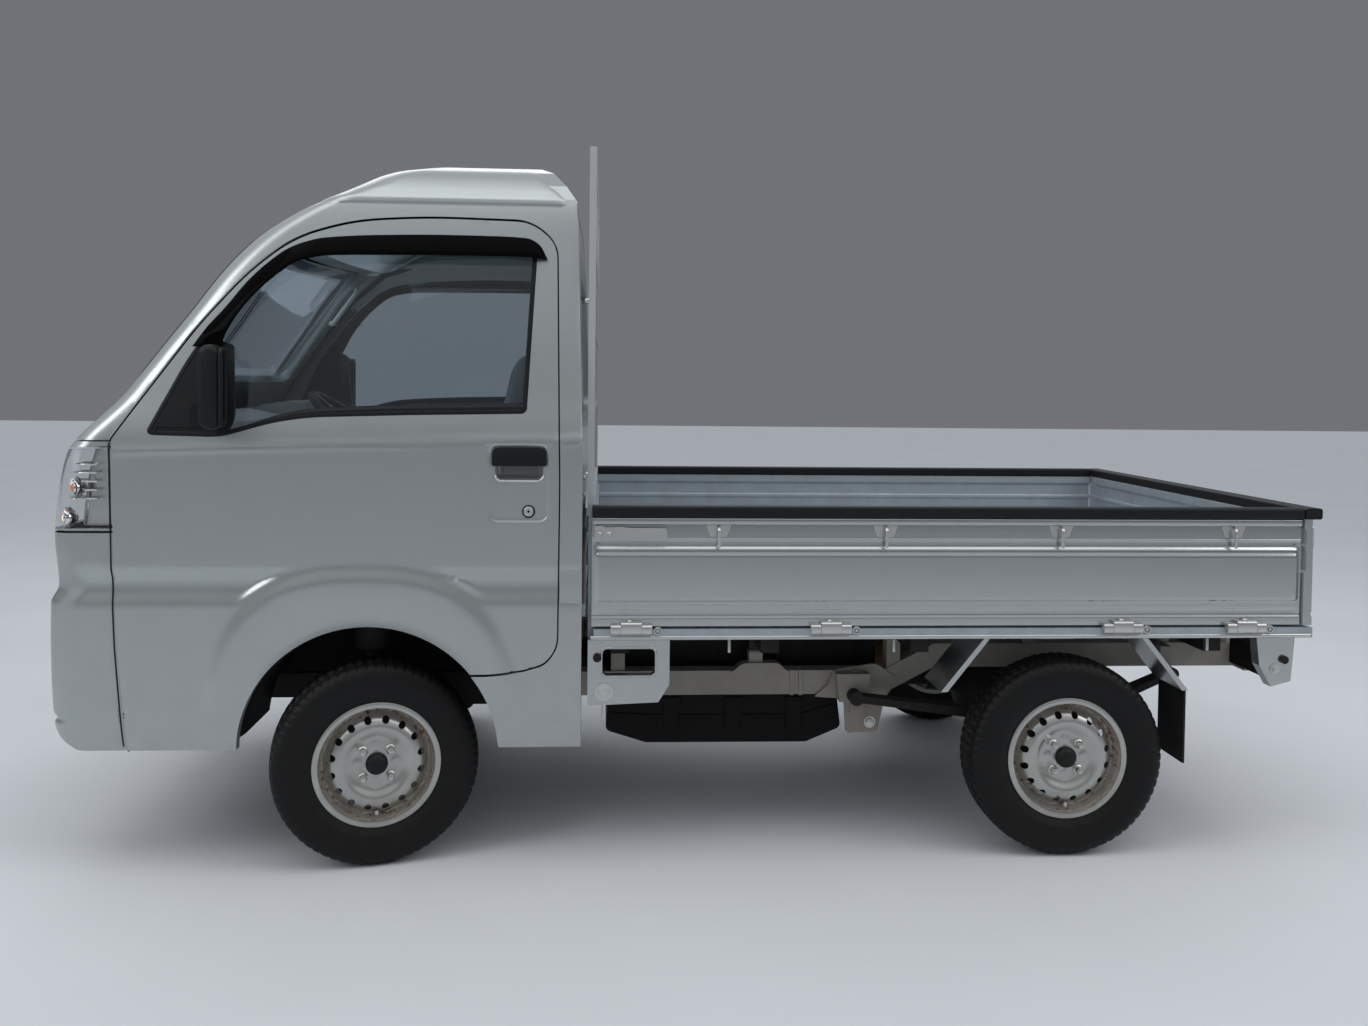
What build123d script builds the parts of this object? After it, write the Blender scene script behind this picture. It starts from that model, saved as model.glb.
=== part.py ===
from build123d import *
import os
from math import cos, radians, sin

# Small cab-over truck with a drop-side bed.
# Frame: +X forward, +Y to the left side, +Z up; origin on the ground, middle of the length.
# All sizes in millimetres.

os.makedirs("parts", exist_ok=True)

# Whole vehicle
wheelbase = 1900
front_overhang = 807.5
rear_overhang = 687.5
half_width = 737.5
nose_x = (front_overhang + wheelbase + rear_overhang) / 2
front_axle_x = nose_x - front_overhang
rear_axle_x = front_axle_x - wheelbase
tail_x = rear_axle_x - rear_overhang

# Clearances
seam = 6            # gap round a moving panel
seat_gap = 0.3      # gap between a seated piece and what carries it
pin_clearance = 0.05

# Wheels
tyre_radius = 271
tyre_width = 145
rim_radius = 152.5
rim_wall = 4
rim_flange_radius = 166
rim_flange_width = 122
track_half = 652.5
stub_radius = 20
stub_reach = 50          # past the wheel's middle
vent_count = 16
vent_radius = 9.5
vent_circle = 117
stud_count = 4
stud_circle = 50
hub_radius = 72
steer_at_rest = 14      # degrees to the left
steer_limit = 33        # degrees each way from straight ahead
kingpin_y = 545

# Cab
cab_rear_x = 316
wall = 48               # whole thickness of a cab wall or door
skin = 22               # outer layer of a door that fills its opening
glass = 5
floor_bottom = 560
floor_top = 600
arch_radius = 333
arch_z = 305
arch_x = front_axle_x - 20
cowl_z = 1124
belt_z = 1097
bumper_top_z = 750
lamp_z = (900, 1116)
lamp_y = 400
door_front_x = 1512

# Bed
deck_top = 650
deck_thickness = 22
bed_front_x = 292
gate_top = 931
gate_thickness = 32
gate_foot = 641
rail_height = 30
rail_width = 42
gate_axis_z = 636
gate_axis_y = half_width + 7
gate_axis_x = tail_x + 7.5
hinge_radius = 6.5
hinge_pin_radius = 3.5
board_top = 961
guard_top = 1906

# Chassis
rail_y = (345, 405)
rail_z = (372, 442)
rear_rail_rise = 78


def plan_outline(rear, nose, half, corner, bow):
    """Plan view of the cab at one height: flat sides, round corners, a bowed front."""
    shoulder_x = nose - bow
    diagonal = corner * (1 - cos(radians(45)))
    with BuildLine() as outline:
        Polyline((shoulder_x - corner, half), (rear, half), (rear, -half), (shoulder_x - corner, -half))
        ThreePointArc(
            (shoulder_x - corner, -half),
            (shoulder_x - diagonal, -half + diagonal),
            (shoulder_x, -half + corner),
        )
        ThreePointArc((shoulder_x, -half + corner), (nose, 0), (shoulder_x, half - corner))
        ThreePointArc(
            (shoulder_x, half - corner),
            (shoulder_x - diagonal, half - diagonal),
            (shoulder_x - corner, half),
        )
    return outline.edges()


# Heights of the cab: z, rear x, nose x, half width, corner radius, bow of the front
cab_levels = [
    (318, 0, nose_x - 52, half_width - 21, 80, 18),
    (345, 0, nose_x - 22, half_width - 15, 78, 18),
    (392, 0, nose_x - 6, half_width - 10, 76, 18),
    (572, 0, nose_x, half_width - 4, 76, 18),
    (702, 0, nose_x - 3, half_width - 1, 76, 18),
    (750, 0, nose_x - 24, half_width, 78, 18),
    (885, 0, nose_x - 14, half_width, 80, 20),
    (1000, 0, nose_x - 20, half_width, 80, 24),
    (belt_z, 0, nose_x - 38, half_width, 80, 28),
    (cowl_z, 1, nose_x - 52, half_width - 2, 78, 30),
    (1250, 4, nose_x - 138, half_width - 22, 62, 60),
    (1435, 10, nose_x - 268, half_width - 51, 66, 64),
    (1638, 16, nose_x - 420, half_width - 87, 72, 66),
    (1737, 21, nose_x - 555, half_width - 107, 80, 62),
    (1775, 26, nose_x - 628, half_width - 119, 90, 60),
    (1815, 52, nose_x - 700, half_width - 150, 105, 55),
    (1858, 88, nose_x - 775, half_width - 205, 115, 50),
    (1882, 126, nose_x - 860, half_width - 285, 100, 40),
]
cab_bottom = cab_levels[0][0]
cab_top = cab_levels[-1][0]


def cab_form(inset):
    """Sections of the cab's outer form, drawn in by an inset; the roof comes down by as much."""
    sections = []
    for z, rear, nose, half, corner, bow in cab_levels:
        drop = inset * max(0, z - belt_z) / (cab_top - belt_z)
        with BuildSketch(Plane.XY.offset(z - drop)) as level:
            make_face(
                plan_outline(
                    cab_rear_x + rear + inset,
                    nose - 1.2 * inset,
                    half - inset,
                    max(corner - inset, 12),
                    bow,
                )
            )
        sections.append(level.sketch)
    return sections


def block(x, y, z, mode=Mode.ADD):
    """A box given by its low and high x, y and z."""
    with Locations(((x[0] + x[1]) / 2, (y[0] + y[1]) / 2, (z[0] + z[1]) / 2)):
        Box(abs(x[1] - x[0]), abs(y[1] - y[0]), abs(z[1] - z[0]), mode=mode)


def rod_x(x, y, z, radius, mode=Mode.ADD):
    """A round bar along x from x[0] to x[1]."""
    with Locations(Location(((x[0] + x[1]) / 2, y, z), (0, 90, 0))):
        Cylinder(radius, abs(x[1] - x[0]), mode=mode)


def rod_y(x, y, z, radius, mode=Mode.ADD):
    """A round bar along y from y[0] to y[1]."""
    with Locations(Location((x, (y[0] + y[1]) / 2, z), (90, 0, 0))):
        Cylinder(radius, abs(y[1] - y[0]), mode=mode)


def rod_z(x, y, z, radius, mode=Mode.ADD):
    """A round bar along z from z[0] to z[1]."""
    with Locations((x, y, (z[0] + z[1]) / 2)):
        Cylinder(radius, abs(z[1] - z[0]), mode=mode)


def side_plate(points, y, mode=Mode.ADD, grow=0, rounding=0):
    """A plate seen from the side: an outline of (x, z) points carried from y[0] to y[1]."""
    with BuildSketch(Plane.XZ.offset(-y[1])) as outline:
        with BuildLine() as edge:
            Polyline(*points, close=True)
        make_face(edge.edges())
        if grow:
            offset(amount=grow, kind=Kind.INTERSECTION)
        if rounding:
            fillet(outline.vertices(), rounding)
    extrude(outline.sketch, amount=y[1] - y[0], mode=mode)


def finish(name, piece):
    """Label a finished piece and write it."""
    piece.part.label = name
    export_step(piece.part, "parts/" + name + ".step")


def finish_pair(name, piece):
    """Write a left-hand piece and its mirror image on the right."""
    with BuildPart() as right:
        mirror(piece.part, about=Plane.XZ)
    finish(name + "_left", piece)
    finish(name + "_right", right)


def front_plate(points, x, mode=Mode.ADD, grow=0, rounding=0):
    """A plate seen from the front: an outline of (y, z) points carried from x[0] to x[1]."""
    with BuildSketch(Plane.YZ.offset(x[0])) as outline:
        with BuildLine() as edge:
            Polyline(*points, close=True)
        make_face(edge.edges())
        if grow:
            offset(amount=grow, kind=Kind.INTERSECTION)
        if rounding:
            fillet(outline.vertices(), rounding)
    extrude(outline.sketch, amount=x[1] - x[0], mode=mode)


# Cab forms that several pieces are cut from
with BuildPart() as cab_outer:
    loft(cab_form(0), ruled=True)

with BuildPart() as cab_inner:
    loft(cab_form(wall), ruled=True)

with BuildPart() as cab_walls:
    add(cab_outer.part)
    add(cab_inner.part, mode=Mode.SUBTRACT)

with BuildPart() as cab_outer_layer:
    add(cab_outer.part)
    loft(cab_form(skin), ruled=True, mode=Mode.SUBTRACT)

# Openings in the cab's side, as (x, z)
door_opening = [
    (door_front_x + 8, cowl_z + 4),
    (1439, 1246),
    (1312, 1432),
    (1195, 1571),
    (1079, 1666),
    (924, 1717),
    (729, 1731),
    (458, 1726),
    (384, 1668),
    (371, 1023),
    (374, 588),
    (405, 540),
    (468, 522),
    (560, 511),
    (560, 250),
    (1488, 250),
    (door_front_x - 2, 588),
    (door_front_x + 4, 800),
]
window_opening = [
    (1426, 1146),
    (1325, 1374),
    (1205, 1538),
    (1084, 1648),
    (977, 1678),
    (696, 1691),
    (478, 1688),
    (447, 1648),
    (468, 1221),
    (769, 1213),
    (1023, 1204),
    (1114, 1187),
    (1243, 1141),
]
corner_panel = [(1426, 1146), (1325, 1374), (1262, 1460), (1250, 1372), (1243, 1141)]
nose_region = [
    (door_front_x + 8, cowl_z),
    (door_front_x + 4, 800),
    (door_front_x - 2, 588),
    (1488, 250),
    (2000, 250),
    (2000, cowl_z),
]
side_reach = (300, 900)


def trim_wheel_arch(radius):
    """Cut the left front wheel arch through the side of whatever is being built."""
    rod_y(arch_x, (330, 900), arch_z, radius, mode=Mode.SUBTRACT)


# Doors: the inner layer stands further back from the opening than the outer one does
with BuildPart() as door_core:
    add(cab_walls.part)
    side_plate(door_opening, side_reach, mode=Mode.INTERSECT, grow=-seam - 10)

with BuildPart() as door:
    add(cab_outer_layer.part)
    side_plate(door_opening, side_reach, mode=Mode.INTERSECT, grow=-seam)
    add(door_core.part)
    side_plate(window_opening, side_reach, mode=Mode.SUBTRACT)
    trim_wheel_arch(arch_radius + seam)

with BuildPart() as door_glass:
    loft(cab_form(skin - glass), ruled=True)
    loft(cab_form(skin), ruled=True, mode=Mode.SUBTRACT)
    side_plate(window_opening, side_reach, mode=Mode.INTERSECT, grow=-seat_gap)
    side_plate(corner_panel, side_reach, mode=Mode.SUBTRACT, grow=seat_gap)

# Door mirror: a black corner panel, an arm and a housing
mirror_y = (half_width + 22, half_width + 72)
with BuildPart() as mirror_piece:
    add(cab_outer_layer.part)
    side_plate(corner_panel, side_reach, mode=Mode.INTERSECT, grow=-seat_gap)
    block((1275, 1315), (half_width - 38, half_width + 40), (1196, 1221))
    with BuildSketch(Plane.XZ.offset(-mirror_y[1])) as housing:
        with Locations((1268, 1262)):
            RectangleRounded(92, 216, 26)
    extrude(housing.sketch, amount=mirror_y[1] - mirror_y[0])

# Smoked visor over the door window
visor_lower = [(1325, 1374), (1205, 1538), (1084, 1648), (977, 1678), (696, 1691), (490, 1688)]
visor_outline = visor_lower + [(430, 1636), (478, 1624), (700, 1634), (960, 1626), (1070, 1598), (1180, 1502)]
with BuildPart() as visor:
    loft(cab_form(-6), ruled=True)
    loft(cab_form(-seat_gap), ruled=True, mode=Mode.SUBTRACT)
    side_plate(visor_outline, side_reach, mode=Mode.INTERSECT)

# Rubber seals that the closed doors rest on, all round except at the hinge edge
with BuildPart() as door_seals:
    loft(cab_form(skin + seat_gap), ruled=True)
    loft(cab_form(skin + 9), ruled=True, mode=Mode.SUBTRACT)
    side_plate(door_opening, side_reach, mode=Mode.INTERSECT, grow=-seat_gap)
    side_plate(door_opening, side_reach, mode=Mode.SUBTRACT, grow=-seam - 6)
    block((door_front_x - 24, 2000), (0, 900), (0, 2000), mode=Mode.SUBTRACT)
    trim_wheel_arch(arch_radius + seam)
    mirror(about=Plane.XZ)
finish("door_seals", door_seals)

finish_pair("door", door)
finish_pair("door_glass", door_glass)
finish_pair("door_mirror", mirror_piece)
finish_pair("window_visor", visor)

# Cab shell: walls, roof, floor and wheelhouses, with the doors, nose and glass cut out
windscreen_opening = [(-632, 1272), (632, 1272), (570, 1668), (-570, 1668)]
rear_window_opening = [(-500, 1180), (500, 1180), (485, 1585), (-485, 1585)]
tub_wall = 10
with BuildPart() as cab_side_openings:
    side_plate(door_opening, side_reach)
    block((door_front_x - 20, door_front_x + 20), side_reach, (250, cowl_z))
    rod_y(arch_x, (330, 900), arch_z, arch_radius)
    mirror(about=Plane.XZ)

with BuildPart() as wheel_tubs:
    rod_y(arch_x, (rail_y[1] + 5, half_width - wall - 2 * seam), arch_z, arch_radius + tub_wall)
    rod_y(arch_x, (rail_y[1] + 11, 900), arch_z, arch_radius, mode=Mode.SUBTRACT)
    block((0, 2000), (0, 900), (-100, 450), mode=Mode.SUBTRACT)
    mirror(about=Plane.XZ)

with BuildPart() as cab_shell:
    add(cab_walls.part)
    side_plate(nose_region, (-900, 900), mode=Mode.SUBTRACT)
    front_plate(windscreen_opening, (700, 2000), mode=Mode.SUBTRACT, rounding=50)
    front_plate(rear_window_opening, (200, 500), mode=Mode.SUBTRACT, rounding=60)
    block((300, 420), (-650, 650), (250, floor_bottom), mode=Mode.SUBTRACT)
    block((340, 1480), (-668, 668), (floor_bottom, floor_top))
    block((1400, 1620), (-400, 400), (floor_bottom, floor_top))
    add(cab_side_openings.part, mode=Mode.SUBTRACT)
    for side in (-1, 1):
        rod_y(
            arch_x, (side * (rail_y[1] + 5 - seat_gap), side * 900), arch_z,
            arch_radius + tub_wall + seat_gap, mode=Mode.SUBTRACT,
        )
    block((374 + seam, 500), (-668, 668), (floor_bottom, floor_top))
finish("cab_shell", cab_shell)
finish("wheelhouses", wheel_tubs)

# Nose: bumper below, front panel above, a headlamp in each corner
with BuildPart() as nose:
    add(cab_walls.part)
    side_plate(nose_region, (-900, 900), mode=Mode.INTERSECT)

with BuildPart() as bumper:
    add(nose.part)
    block((0, 2000), (-900, 900), (0, bumper_top_z), mode=Mode.INTERSECT)
    front_plate([(-330, 400), (330, 400), (310, 500), (-310, 500)], (1500, 2000), mode=Mode.SUBTRACT, rounding=25)
finish("front_bumper", bumper)

lamp_outline = [(lamp_y, lamp_z[0] + 40), (lamp_y + 40, lamp_z[0]), (900, lamp_z[0]), (900, lamp_z[1]),
                (lamp_y + 60, lamp_z[1])]
with BuildPart() as front_panel:
    add(nose.part)
    block((0, 2000), (-900, 900), (bumper_top_z + seat_gap, cowl_z - seat_gap), mode=Mode.INTERSECT)
    front_plate(lamp_outline, (1400, 2000), mode=Mode.SUBTRACT)
    front_plate([(-y, z) for y, z in lamp_outline], (1400, 2000), mode=Mode.SUBTRACT)
finish("front_panel", front_panel)

with BuildPart() as headlamp:
    add(nose.part)
    front_plate(lamp_outline, (1400, 2000), mode=Mode.INTERSECT, grow=-seat_gap)
finish_pair("headlamp", headlamp)

# Fixed glass
with BuildPart() as windscreen:
    loft(cab_form(8), ruled=True)
    loft(cab_form(8 + glass), ruled=True, mode=Mode.SUBTRACT)
    front_plate(windscreen_opening, (700, 2000), mode=Mode.INTERSECT, grow=-seat_gap, rounding=50)
finish("windscreen", windscreen)

with BuildPart() as rear_window:
    loft(cab_form(20), ruled=True)
    loft(cab_form(20 + glass), ruled=True, mode=Mode.SUBTRACT)
    front_plate(rear_window_opening, (200, 500), mode=Mode.INTERSECT, grow=-seat_gap, rounding=60)
finish("rear_window", rear_window)

# Inside of the cab: dashboard on its tunnel, wheel and column on the right, two seats
driver_y = -330
column_tilt = 38
column_length = 190
column_radius = 24
wheel_centre = (1120, driver_y, 1120)
steering_plane = Plane(
    origin=wheel_centre,
    x_dir=(0, 1, 0),
    z_dir=(-sin(radians(column_tilt)), 0, cos(radians(column_tilt))),
)
with BuildPart() as dashboard:
    side_plate(
        [(1250, 880), (1215, 990), (1232, 1110), (1300, 1160), (1440, 1185), (1462, 1150), (1462, 900)],
        (-655, 655),
    )
    block((1290, 1420), (-110, 110), (floor_top + seat_gap, 900))
    with BuildSketch(steering_plane.offset(-column_length - seat_gap)) as column_hole:
        Circle(column_radius + seat_gap)
    extrude(column_hole.sketch, amount=column_length, mode=Mode.SUBTRACT)
finish("dashboard", dashboard)

rim_plane = Plane(
    origin=wheel_centre,
    x_dir=(0, 1, 0),
    z_dir=(cos(radians(column_tilt)), 0, sin(radians(column_tilt))),
)
with BuildPart() as steering_wheel:
    with BuildSketch(rim_plane) as rim:
        with Locations((178, 0)):
            Circle(13)
    revolve(rim.sketch, axis=Axis(wheel_centre, steering_plane.z_dir))
    with BuildSketch(steering_plane.offset(-14)) as spokes:
        Circle(62)
        Rectangle(350, 34)
        with Locations((0, -90)):
            Rectangle(34, 176)
    extrude(spokes.sketch, amount=20)
    with BuildSketch(steering_plane.offset(-column_length)) as column:
        Circle(column_radius)
    extrude(column.sketch, amount=column_length - 10)
finish("steering_wheel", steering_wheel)

seat_x = (480, 990)
seat_y = (95, 585)
cushion_z = (800, 925)
with BuildPart() as seat_bases:
    block((470, 985), (80, 600), (floor_top + seat_gap, cushion_z[0] - seat_gap))
    rod_y(
        arch_x, (rail_y[1] + 5 - seat_gap, 900), arch_z, arch_radius + tub_wall + seat_gap,
        mode=Mode.SUBTRACT,
    )
    mirror(about=Plane.XZ)
finish("seat_bases", seat_bases)

back_outline = [(480, 935), (600, 935), (560, 1120), (500, 1370), (420, 1370), (420, 1100)]
with BuildPart() as seat_pair:
    block(seat_x, seat_y, (cushion_z[0], cushion_z[1]))
    fillet(seat_pair.edges().filter_by(Axis.Z), 40)
    side_plate(back_outline, seat_y)
    block((480, 560), (seat_y[0] + 60, seat_y[1] - 60), (cushion_z[1], 940))
with BuildPart() as driver_seat:
    mirror(seat_pair.part, about=Plane.XZ)
finish("driver_seat", driver_seat)
finish("passenger_seat", seat_pair)

# Ladder frame: two rails that rise over the rear axle, cross members and posts up to the bed
rail_front_x = nose_x - 110
rail_rear_x = tail_x + 60
rise_start_x = rear_axle_x + 440
rise_end_x = rear_axle_x + 290
rail_depth = rail_z[1] - rail_z[0]
rail_outline = [
    (rail_front_x, rail_z[0]),
    (rail_front_x, rail_z[1]),
    (rise_start_x, rail_z[1]),
    (rise_end_x, rail_z[1] + rear_rail_rise),
    (rail_rear_x, rail_z[1] + rear_rail_rise),
    (rail_rear_x, rail_z[0] + rear_rail_rise),
    (rise_end_x, rail_z[0] + rear_rail_rise),
    (rise_start_x, rail_z[0]),
]
sill_height = 68
sill_width = 50
sill_z = (deck_top - deck_thickness - sill_height, deck_top - deck_thickness)
# Cross sills under the deck: x, half length
deck_sills = [(215, 690), (-190, 690), (-600, 690), (-1010, 425), (-1420, 690), (-1600, 690)]
spring_y = (455, 505)
tow_eye_x = 1500
tow_eye_y = (369, 381)
tow_eye_z = 294
tow_eye_radius = 14
plate_hole_y = 105
plate_hole_z = 485
plate_hole_radius = 3.5
rail_crosses = [1500, 980, 40, -250, -560]
cross_width = 60
with BuildPart() as chassis_frame:
    side_plate(rail_outline, rail_y)
    for x in rail_crosses:
        block((x, x + cross_width), (0, rail_y[0]), (rail_z[0] + 10, rail_z[1] - 10))
    block((rear_axle_x - 330, rear_axle_x - 270), (0, rail_y[0]), (rail_z[0] + rear_rail_rise + 10, rail_z[1] + rear_rail_rise - 10))
    for x, half_length in deck_sills:
        rail_top = rail_z[1] + (rear_rail_rise if x < rise_end_x else 0)
        block((x - 20, x + 20), (rail_y[0] + 5, rail_y[1] - 5), (rail_top, sill_z[0] - seat_gap))
    for x in (1480, 1000, 430):
        block((x - 20, x + 20), (rail_y[0] + 5, rail_y[1] - 5), (rail_z[1], floor_bottom - seat_gap))
    # Spring hangers
    side_plate([(-510, 360), (-430, 360), (-420, rail_z[1]), (-520, rail_z[1])], (rail_y[1], spring_y[0] - seat_gap))
    block((-1422, -1388), (rail_y[1], spring_y[0] - seat_gap), (436, rail_z[1] + rear_rail_rise))
    # Rear cross bar with two plate holes
    block((rail_rear_x - 22, rail_rear_x), (0, 470), (rail_z[0] + rear_rail_rise, rail_z[1] + rear_rail_rise))
    rod_x((rail_rear_x - 30, rail_rear_x + 10), plate_hole_y, plate_hole_z, plate_hole_radius, mode=Mode.SUBTRACT)
    # Tow eye under each rail
    block((tow_eye_x - 24, tow_eye_x + 24), tow_eye_y, (tow_eye_z, rail_z[0]))
    rod_y(tow_eye_x, tow_eye_y, tow_eye_z, 26)
    rod_y(tow_eye_x, (tow_eye_y[0] - 5, tow_eye_y[1] + 5), tow_eye_z, tow_eye_radius, mode=Mode.SUBTRACT)
    mirror(about=Plane.XZ)
finish("chassis_frame", chassis_frame)

# Engine under the seats, gearbox behind it, held between the rails
shaft_z = 318
gearbox_rear_x = 150
with BuildPart() as engine_block:
    block((500, 930), (-225, 225), (300, 520))
    block((560, 760), (-rail_y[0] + seat_gap, rail_y[0] - seat_gap), (390, 420))
    rod_x((gearbox_rear_x, 500), 0, 375, 80)
finish("engine_block", engine_block)

# Fuel tank inside the left rail: it hangs under the cross members and rises between and over them
tank_outline = [(240, 372), (250, 252), (130, 214), (-350, 212), (-455, 256), (-440, 372)]
with BuildPart() as fuel_tank:
    side_plate(tank_outline, (95, rail_y[0] - seat_gap), rounding=18)
    block((-180, 30), (95, rail_y[0] - 12), (340, 440))
    block((-400, 140), (95, rail_y[0] - 12), (rail_z[1] - 10 + seat_gap, 548))
finish("fuel_tank", fuel_tank)

exhaust_y = -270
with BuildPart() as exhaust:
    rod_x((-1560, 560), exhaust_y, 335, 20)
    rod_x((-810, -610), exhaust_y, 335, 62)
    rod_y(540, (exhaust_y, -225 - seat_gap), 335, 20)
    for x in (-545, 60):
        block((x, x + 12), (exhaust_y - 6, exhaust_y + 6), (350, rail_z[0] + 10 - seat_gap))
finish("exhaust", exhaust)

# Rear axle with its drums and stub shafts, and the shaft that drives it
with BuildPart() as rear_axle:
    rod_y(rear_axle_x, (-600, 600), tyre_radius, 38)
    with Locations((rear_axle_x, 0, tyre_radius + 10)):
        Sphere(112)
    rod_x((rear_axle_x, rear_axle_x + 150), 0, shaft_z, 44)
    for side in (-1, 1):
        rod_y(rear_axle_x, (side * 568, side * (track_half - 20)), tyre_radius, 100)
        rod_y(rear_axle_x, (side * 600, side * (track_half + stub_reach)), tyre_radius, stub_radius)
        block(
            (rear_axle_x - 50, rear_axle_x + 50),
            (side * (spring_y[0] + 5), side * (spring_y[1] - 5)),
            (tyre_radius, 312 - seat_gap),
        )
finish("rear_axle", rear_axle)

with BuildPart() as propeller_shaft:
    rod_x((rear_axle_x + 150 + seat_gap, gearbox_rear_x - seat_gap), 0, shaft_z, 22)
    rod_x((rear_axle_x + 150 + seat_gap, rear_axle_x + 205), 0, shaft_z, 38)
    rod_x((gearbox_rear_x - 50, gearbox_rear_x - seat_gap), 0, shaft_z, 36)
finish("propeller_shaft", propeller_shaft)

with BuildPart() as leaf_springs:
    side_plate(
        [(-470, 372), (-900, 312), (-1120, 312), (-1404, 440), (-1404, 458), (-1120, 340), (-900, 340), (-470, 392)],
        spring_y,
    )
    rod_y(-470, spring_y, 382, 20)
    rod_y(-1404, spring_y, 449, 18)
    mirror(about=Plane.XZ)
finish("leaf_springs", leaf_springs)

# Front suspension: a lower arm and a strut on each side, on the line that the knuckle turns about
knuckle_z = (210, 384)
with BuildPart() as front_suspension:
    front_plate(
        [(300, 371.7), (385, 371.7), (400, 300), (500, 205), (575, 205), (575, 180), (490, 180), (330, 290)],
        (front_axle_x - 32, front_axle_x + 32),
    )
    rod_z(front_axle_x, kingpin_y, (200, 235), 8)
    rod_z(front_axle_x, kingpin_y, (360, 392), 8)
    rod_z(front_axle_x, kingpin_y, (390, arch_z + arch_radius - 3), 20)
    rod_z(front_axle_x, kingpin_y, (552, 625), 50)
    mirror(about=Plane.XZ)
finish("front_suspension", front_suspension)


def spin_direction(side, angle):
    """Unit vector along a wheel's axle, pointing outboard; side is 1 on the left, -1 on the right."""
    return (-sin(radians(angle)) * side, cos(radians(angle)) * side, 0)


def along(start, direction, distance):
    """The point at a distance from a start along a direction."""
    return tuple(a + b * distance for a, b in zip(start, direction))


def section_plane(centre, spin):
    """Plane through the axle: local x outboard along the axle, local y up."""
    return Plane(origin=centre, x_dir=spin, z_dir=(spin[1], -spin[0], 0))


scrub = track_half - kingpin_y
# Rim section as (outboard, radius): cap, dished disc, barrel and flanges, bore for the stub
rim_section = [
    (62, 0), (62, 13), (56, 25), (44, 28), (42, 68), (51, 82), (54, 98), (44, 121), (20, 135.5), (34, 147.5),
    (61, 149), (61, rim_flange_radius), (57.5, rim_flange_radius), (57.5, rim_radius), (34, rim_radius),
    (18, 140), (-18, 140), (-34, rim_radius), (-57.5, rim_radius), (-57.5, rim_flange_radius),
    (-61, rim_flange_radius), (-61, 149), (-34, 147.5), (-18, 135.5), (6, 135.5), (38, 117), (47, 97),
    (44, 84), (34, 70), (34, stub_radius + pin_clearance), (stub_reach + 2, stub_radius + pin_clearance),
    (stub_reach + 2, 0),
]
bead = (57, rim_radius + seat_gap)
tyre_section = [
    bead, (57, 167), (tyre_width / 2, 208), (58, tyre_radius), (-58, tyre_radius), (-tyre_width / 2, 208),
    (-57, 167), (-bead[0], bead[1]),
]


def make_rim(name, centre, spin):
    with BuildPart() as rim:
        with BuildSketch(section_plane(centre, spin)) as section:
            with BuildLine() as edge:
                Polyline(*rim_section, close=True)
            make_face(edge.edges())
        revolve(section.sketch, axis=Axis(centre, spin))
        disc_plane = Plane(origin=along(centre, spin, 26), x_dir=(0, 0, 1), z_dir=spin)
        with BuildSketch(disc_plane) as vents:
            with PolarLocations(vent_circle, vent_count):
                Circle(vent_radius)
        extrude(vents.sketch, amount=45, mode=Mode.SUBTRACT)
        with BuildSketch(disc_plane.offset(14)) as nuts:
            with PolarLocations(stud_circle, stud_count, start_angle=45):
                RegularPolygon(10, 6)
        extrude(nuts.sketch, amount=16)
    finish(name, rim)


def make_tyre(name, centre, spin):
    with BuildPart() as tyre:
        with BuildSketch(section_plane(centre, spin)) as section:
            with BuildLine() as edge:
                Polyline(*tyre_section, close=True)
            make_face(edge.edges())
        revolve(section.sketch, axis=Axis(centre, spin))
    finish(name, tyre)


def make_knuckle(name, kingpin, spin):
    with BuildPart() as knuckle:
        rod_z(kingpin[0], kingpin[1], knuckle_z, 28)
        hub_plane = Plane(origin=kingpin, x_dir=(0, 0, 1), z_dir=spin)
        # Spindle, brake disc and stub: start, end, radius
        for start, end, radius in ((0, scrub - 30, 28), (scrub - 46, scrub - 34, 106), (60, scrub + stub_reach, stub_radius)):
            with BuildSketch(hub_plane.offset(start)) as round_part:
                Circle(radius)
            extrude(round_part.sketch, amount=end - start)
        rod_z(kingpin[0], kingpin[1], (200, 236), 8 + pin_clearance, mode=Mode.SUBTRACT)
        rod_z(kingpin[0], kingpin[1], (358, 392), 8 + pin_clearance, mode=Mode.SUBTRACT)
    finish(name, knuckle)


for side, hand in ((1, "left"), (-1, "right")):
    kingpin = (front_axle_x, side * kingpin_y, tyre_radius)
    front_spin = spin_direction(side, steer_at_rest)
    front_centre = along(kingpin, front_spin, scrub)
    rear_centre = (rear_axle_x, side * track_half, tyre_radius)
    rear_spin = spin_direction(side, 0)
    make_knuckle("knuckle_" + hand, kingpin, front_spin)
    for end, centre, spin in (("front", front_centre, front_spin), ("rear", rear_centre, rear_spin)):
        make_rim("rim_" + end + "_" + hand, centre, spin)
        make_tyre("tyre_" + end + "_" + hand, centre, spin)

# Bed: deck on cross sills between two side rails, with fixed hinge knuckles along three edges
deck_front_x = bed_front_x - 8
deck_rear_x = tail_x + 52.5
deck_half = half_width - gate_thickness - 5.5
side_rail_y = (690, half_width - 2.5)
side_rail_z = (606, gate_axis_z - 2)
rear_rail_x = (tail_x + 17, tail_x + 61)
hinge_length = 110
side_hinges = [185, -346, -1143, -1488]     # middle x of each hinge
tail_hinges = [-480, 0, 480]                # middle y of each hinge
knuckle_length = 28


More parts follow.
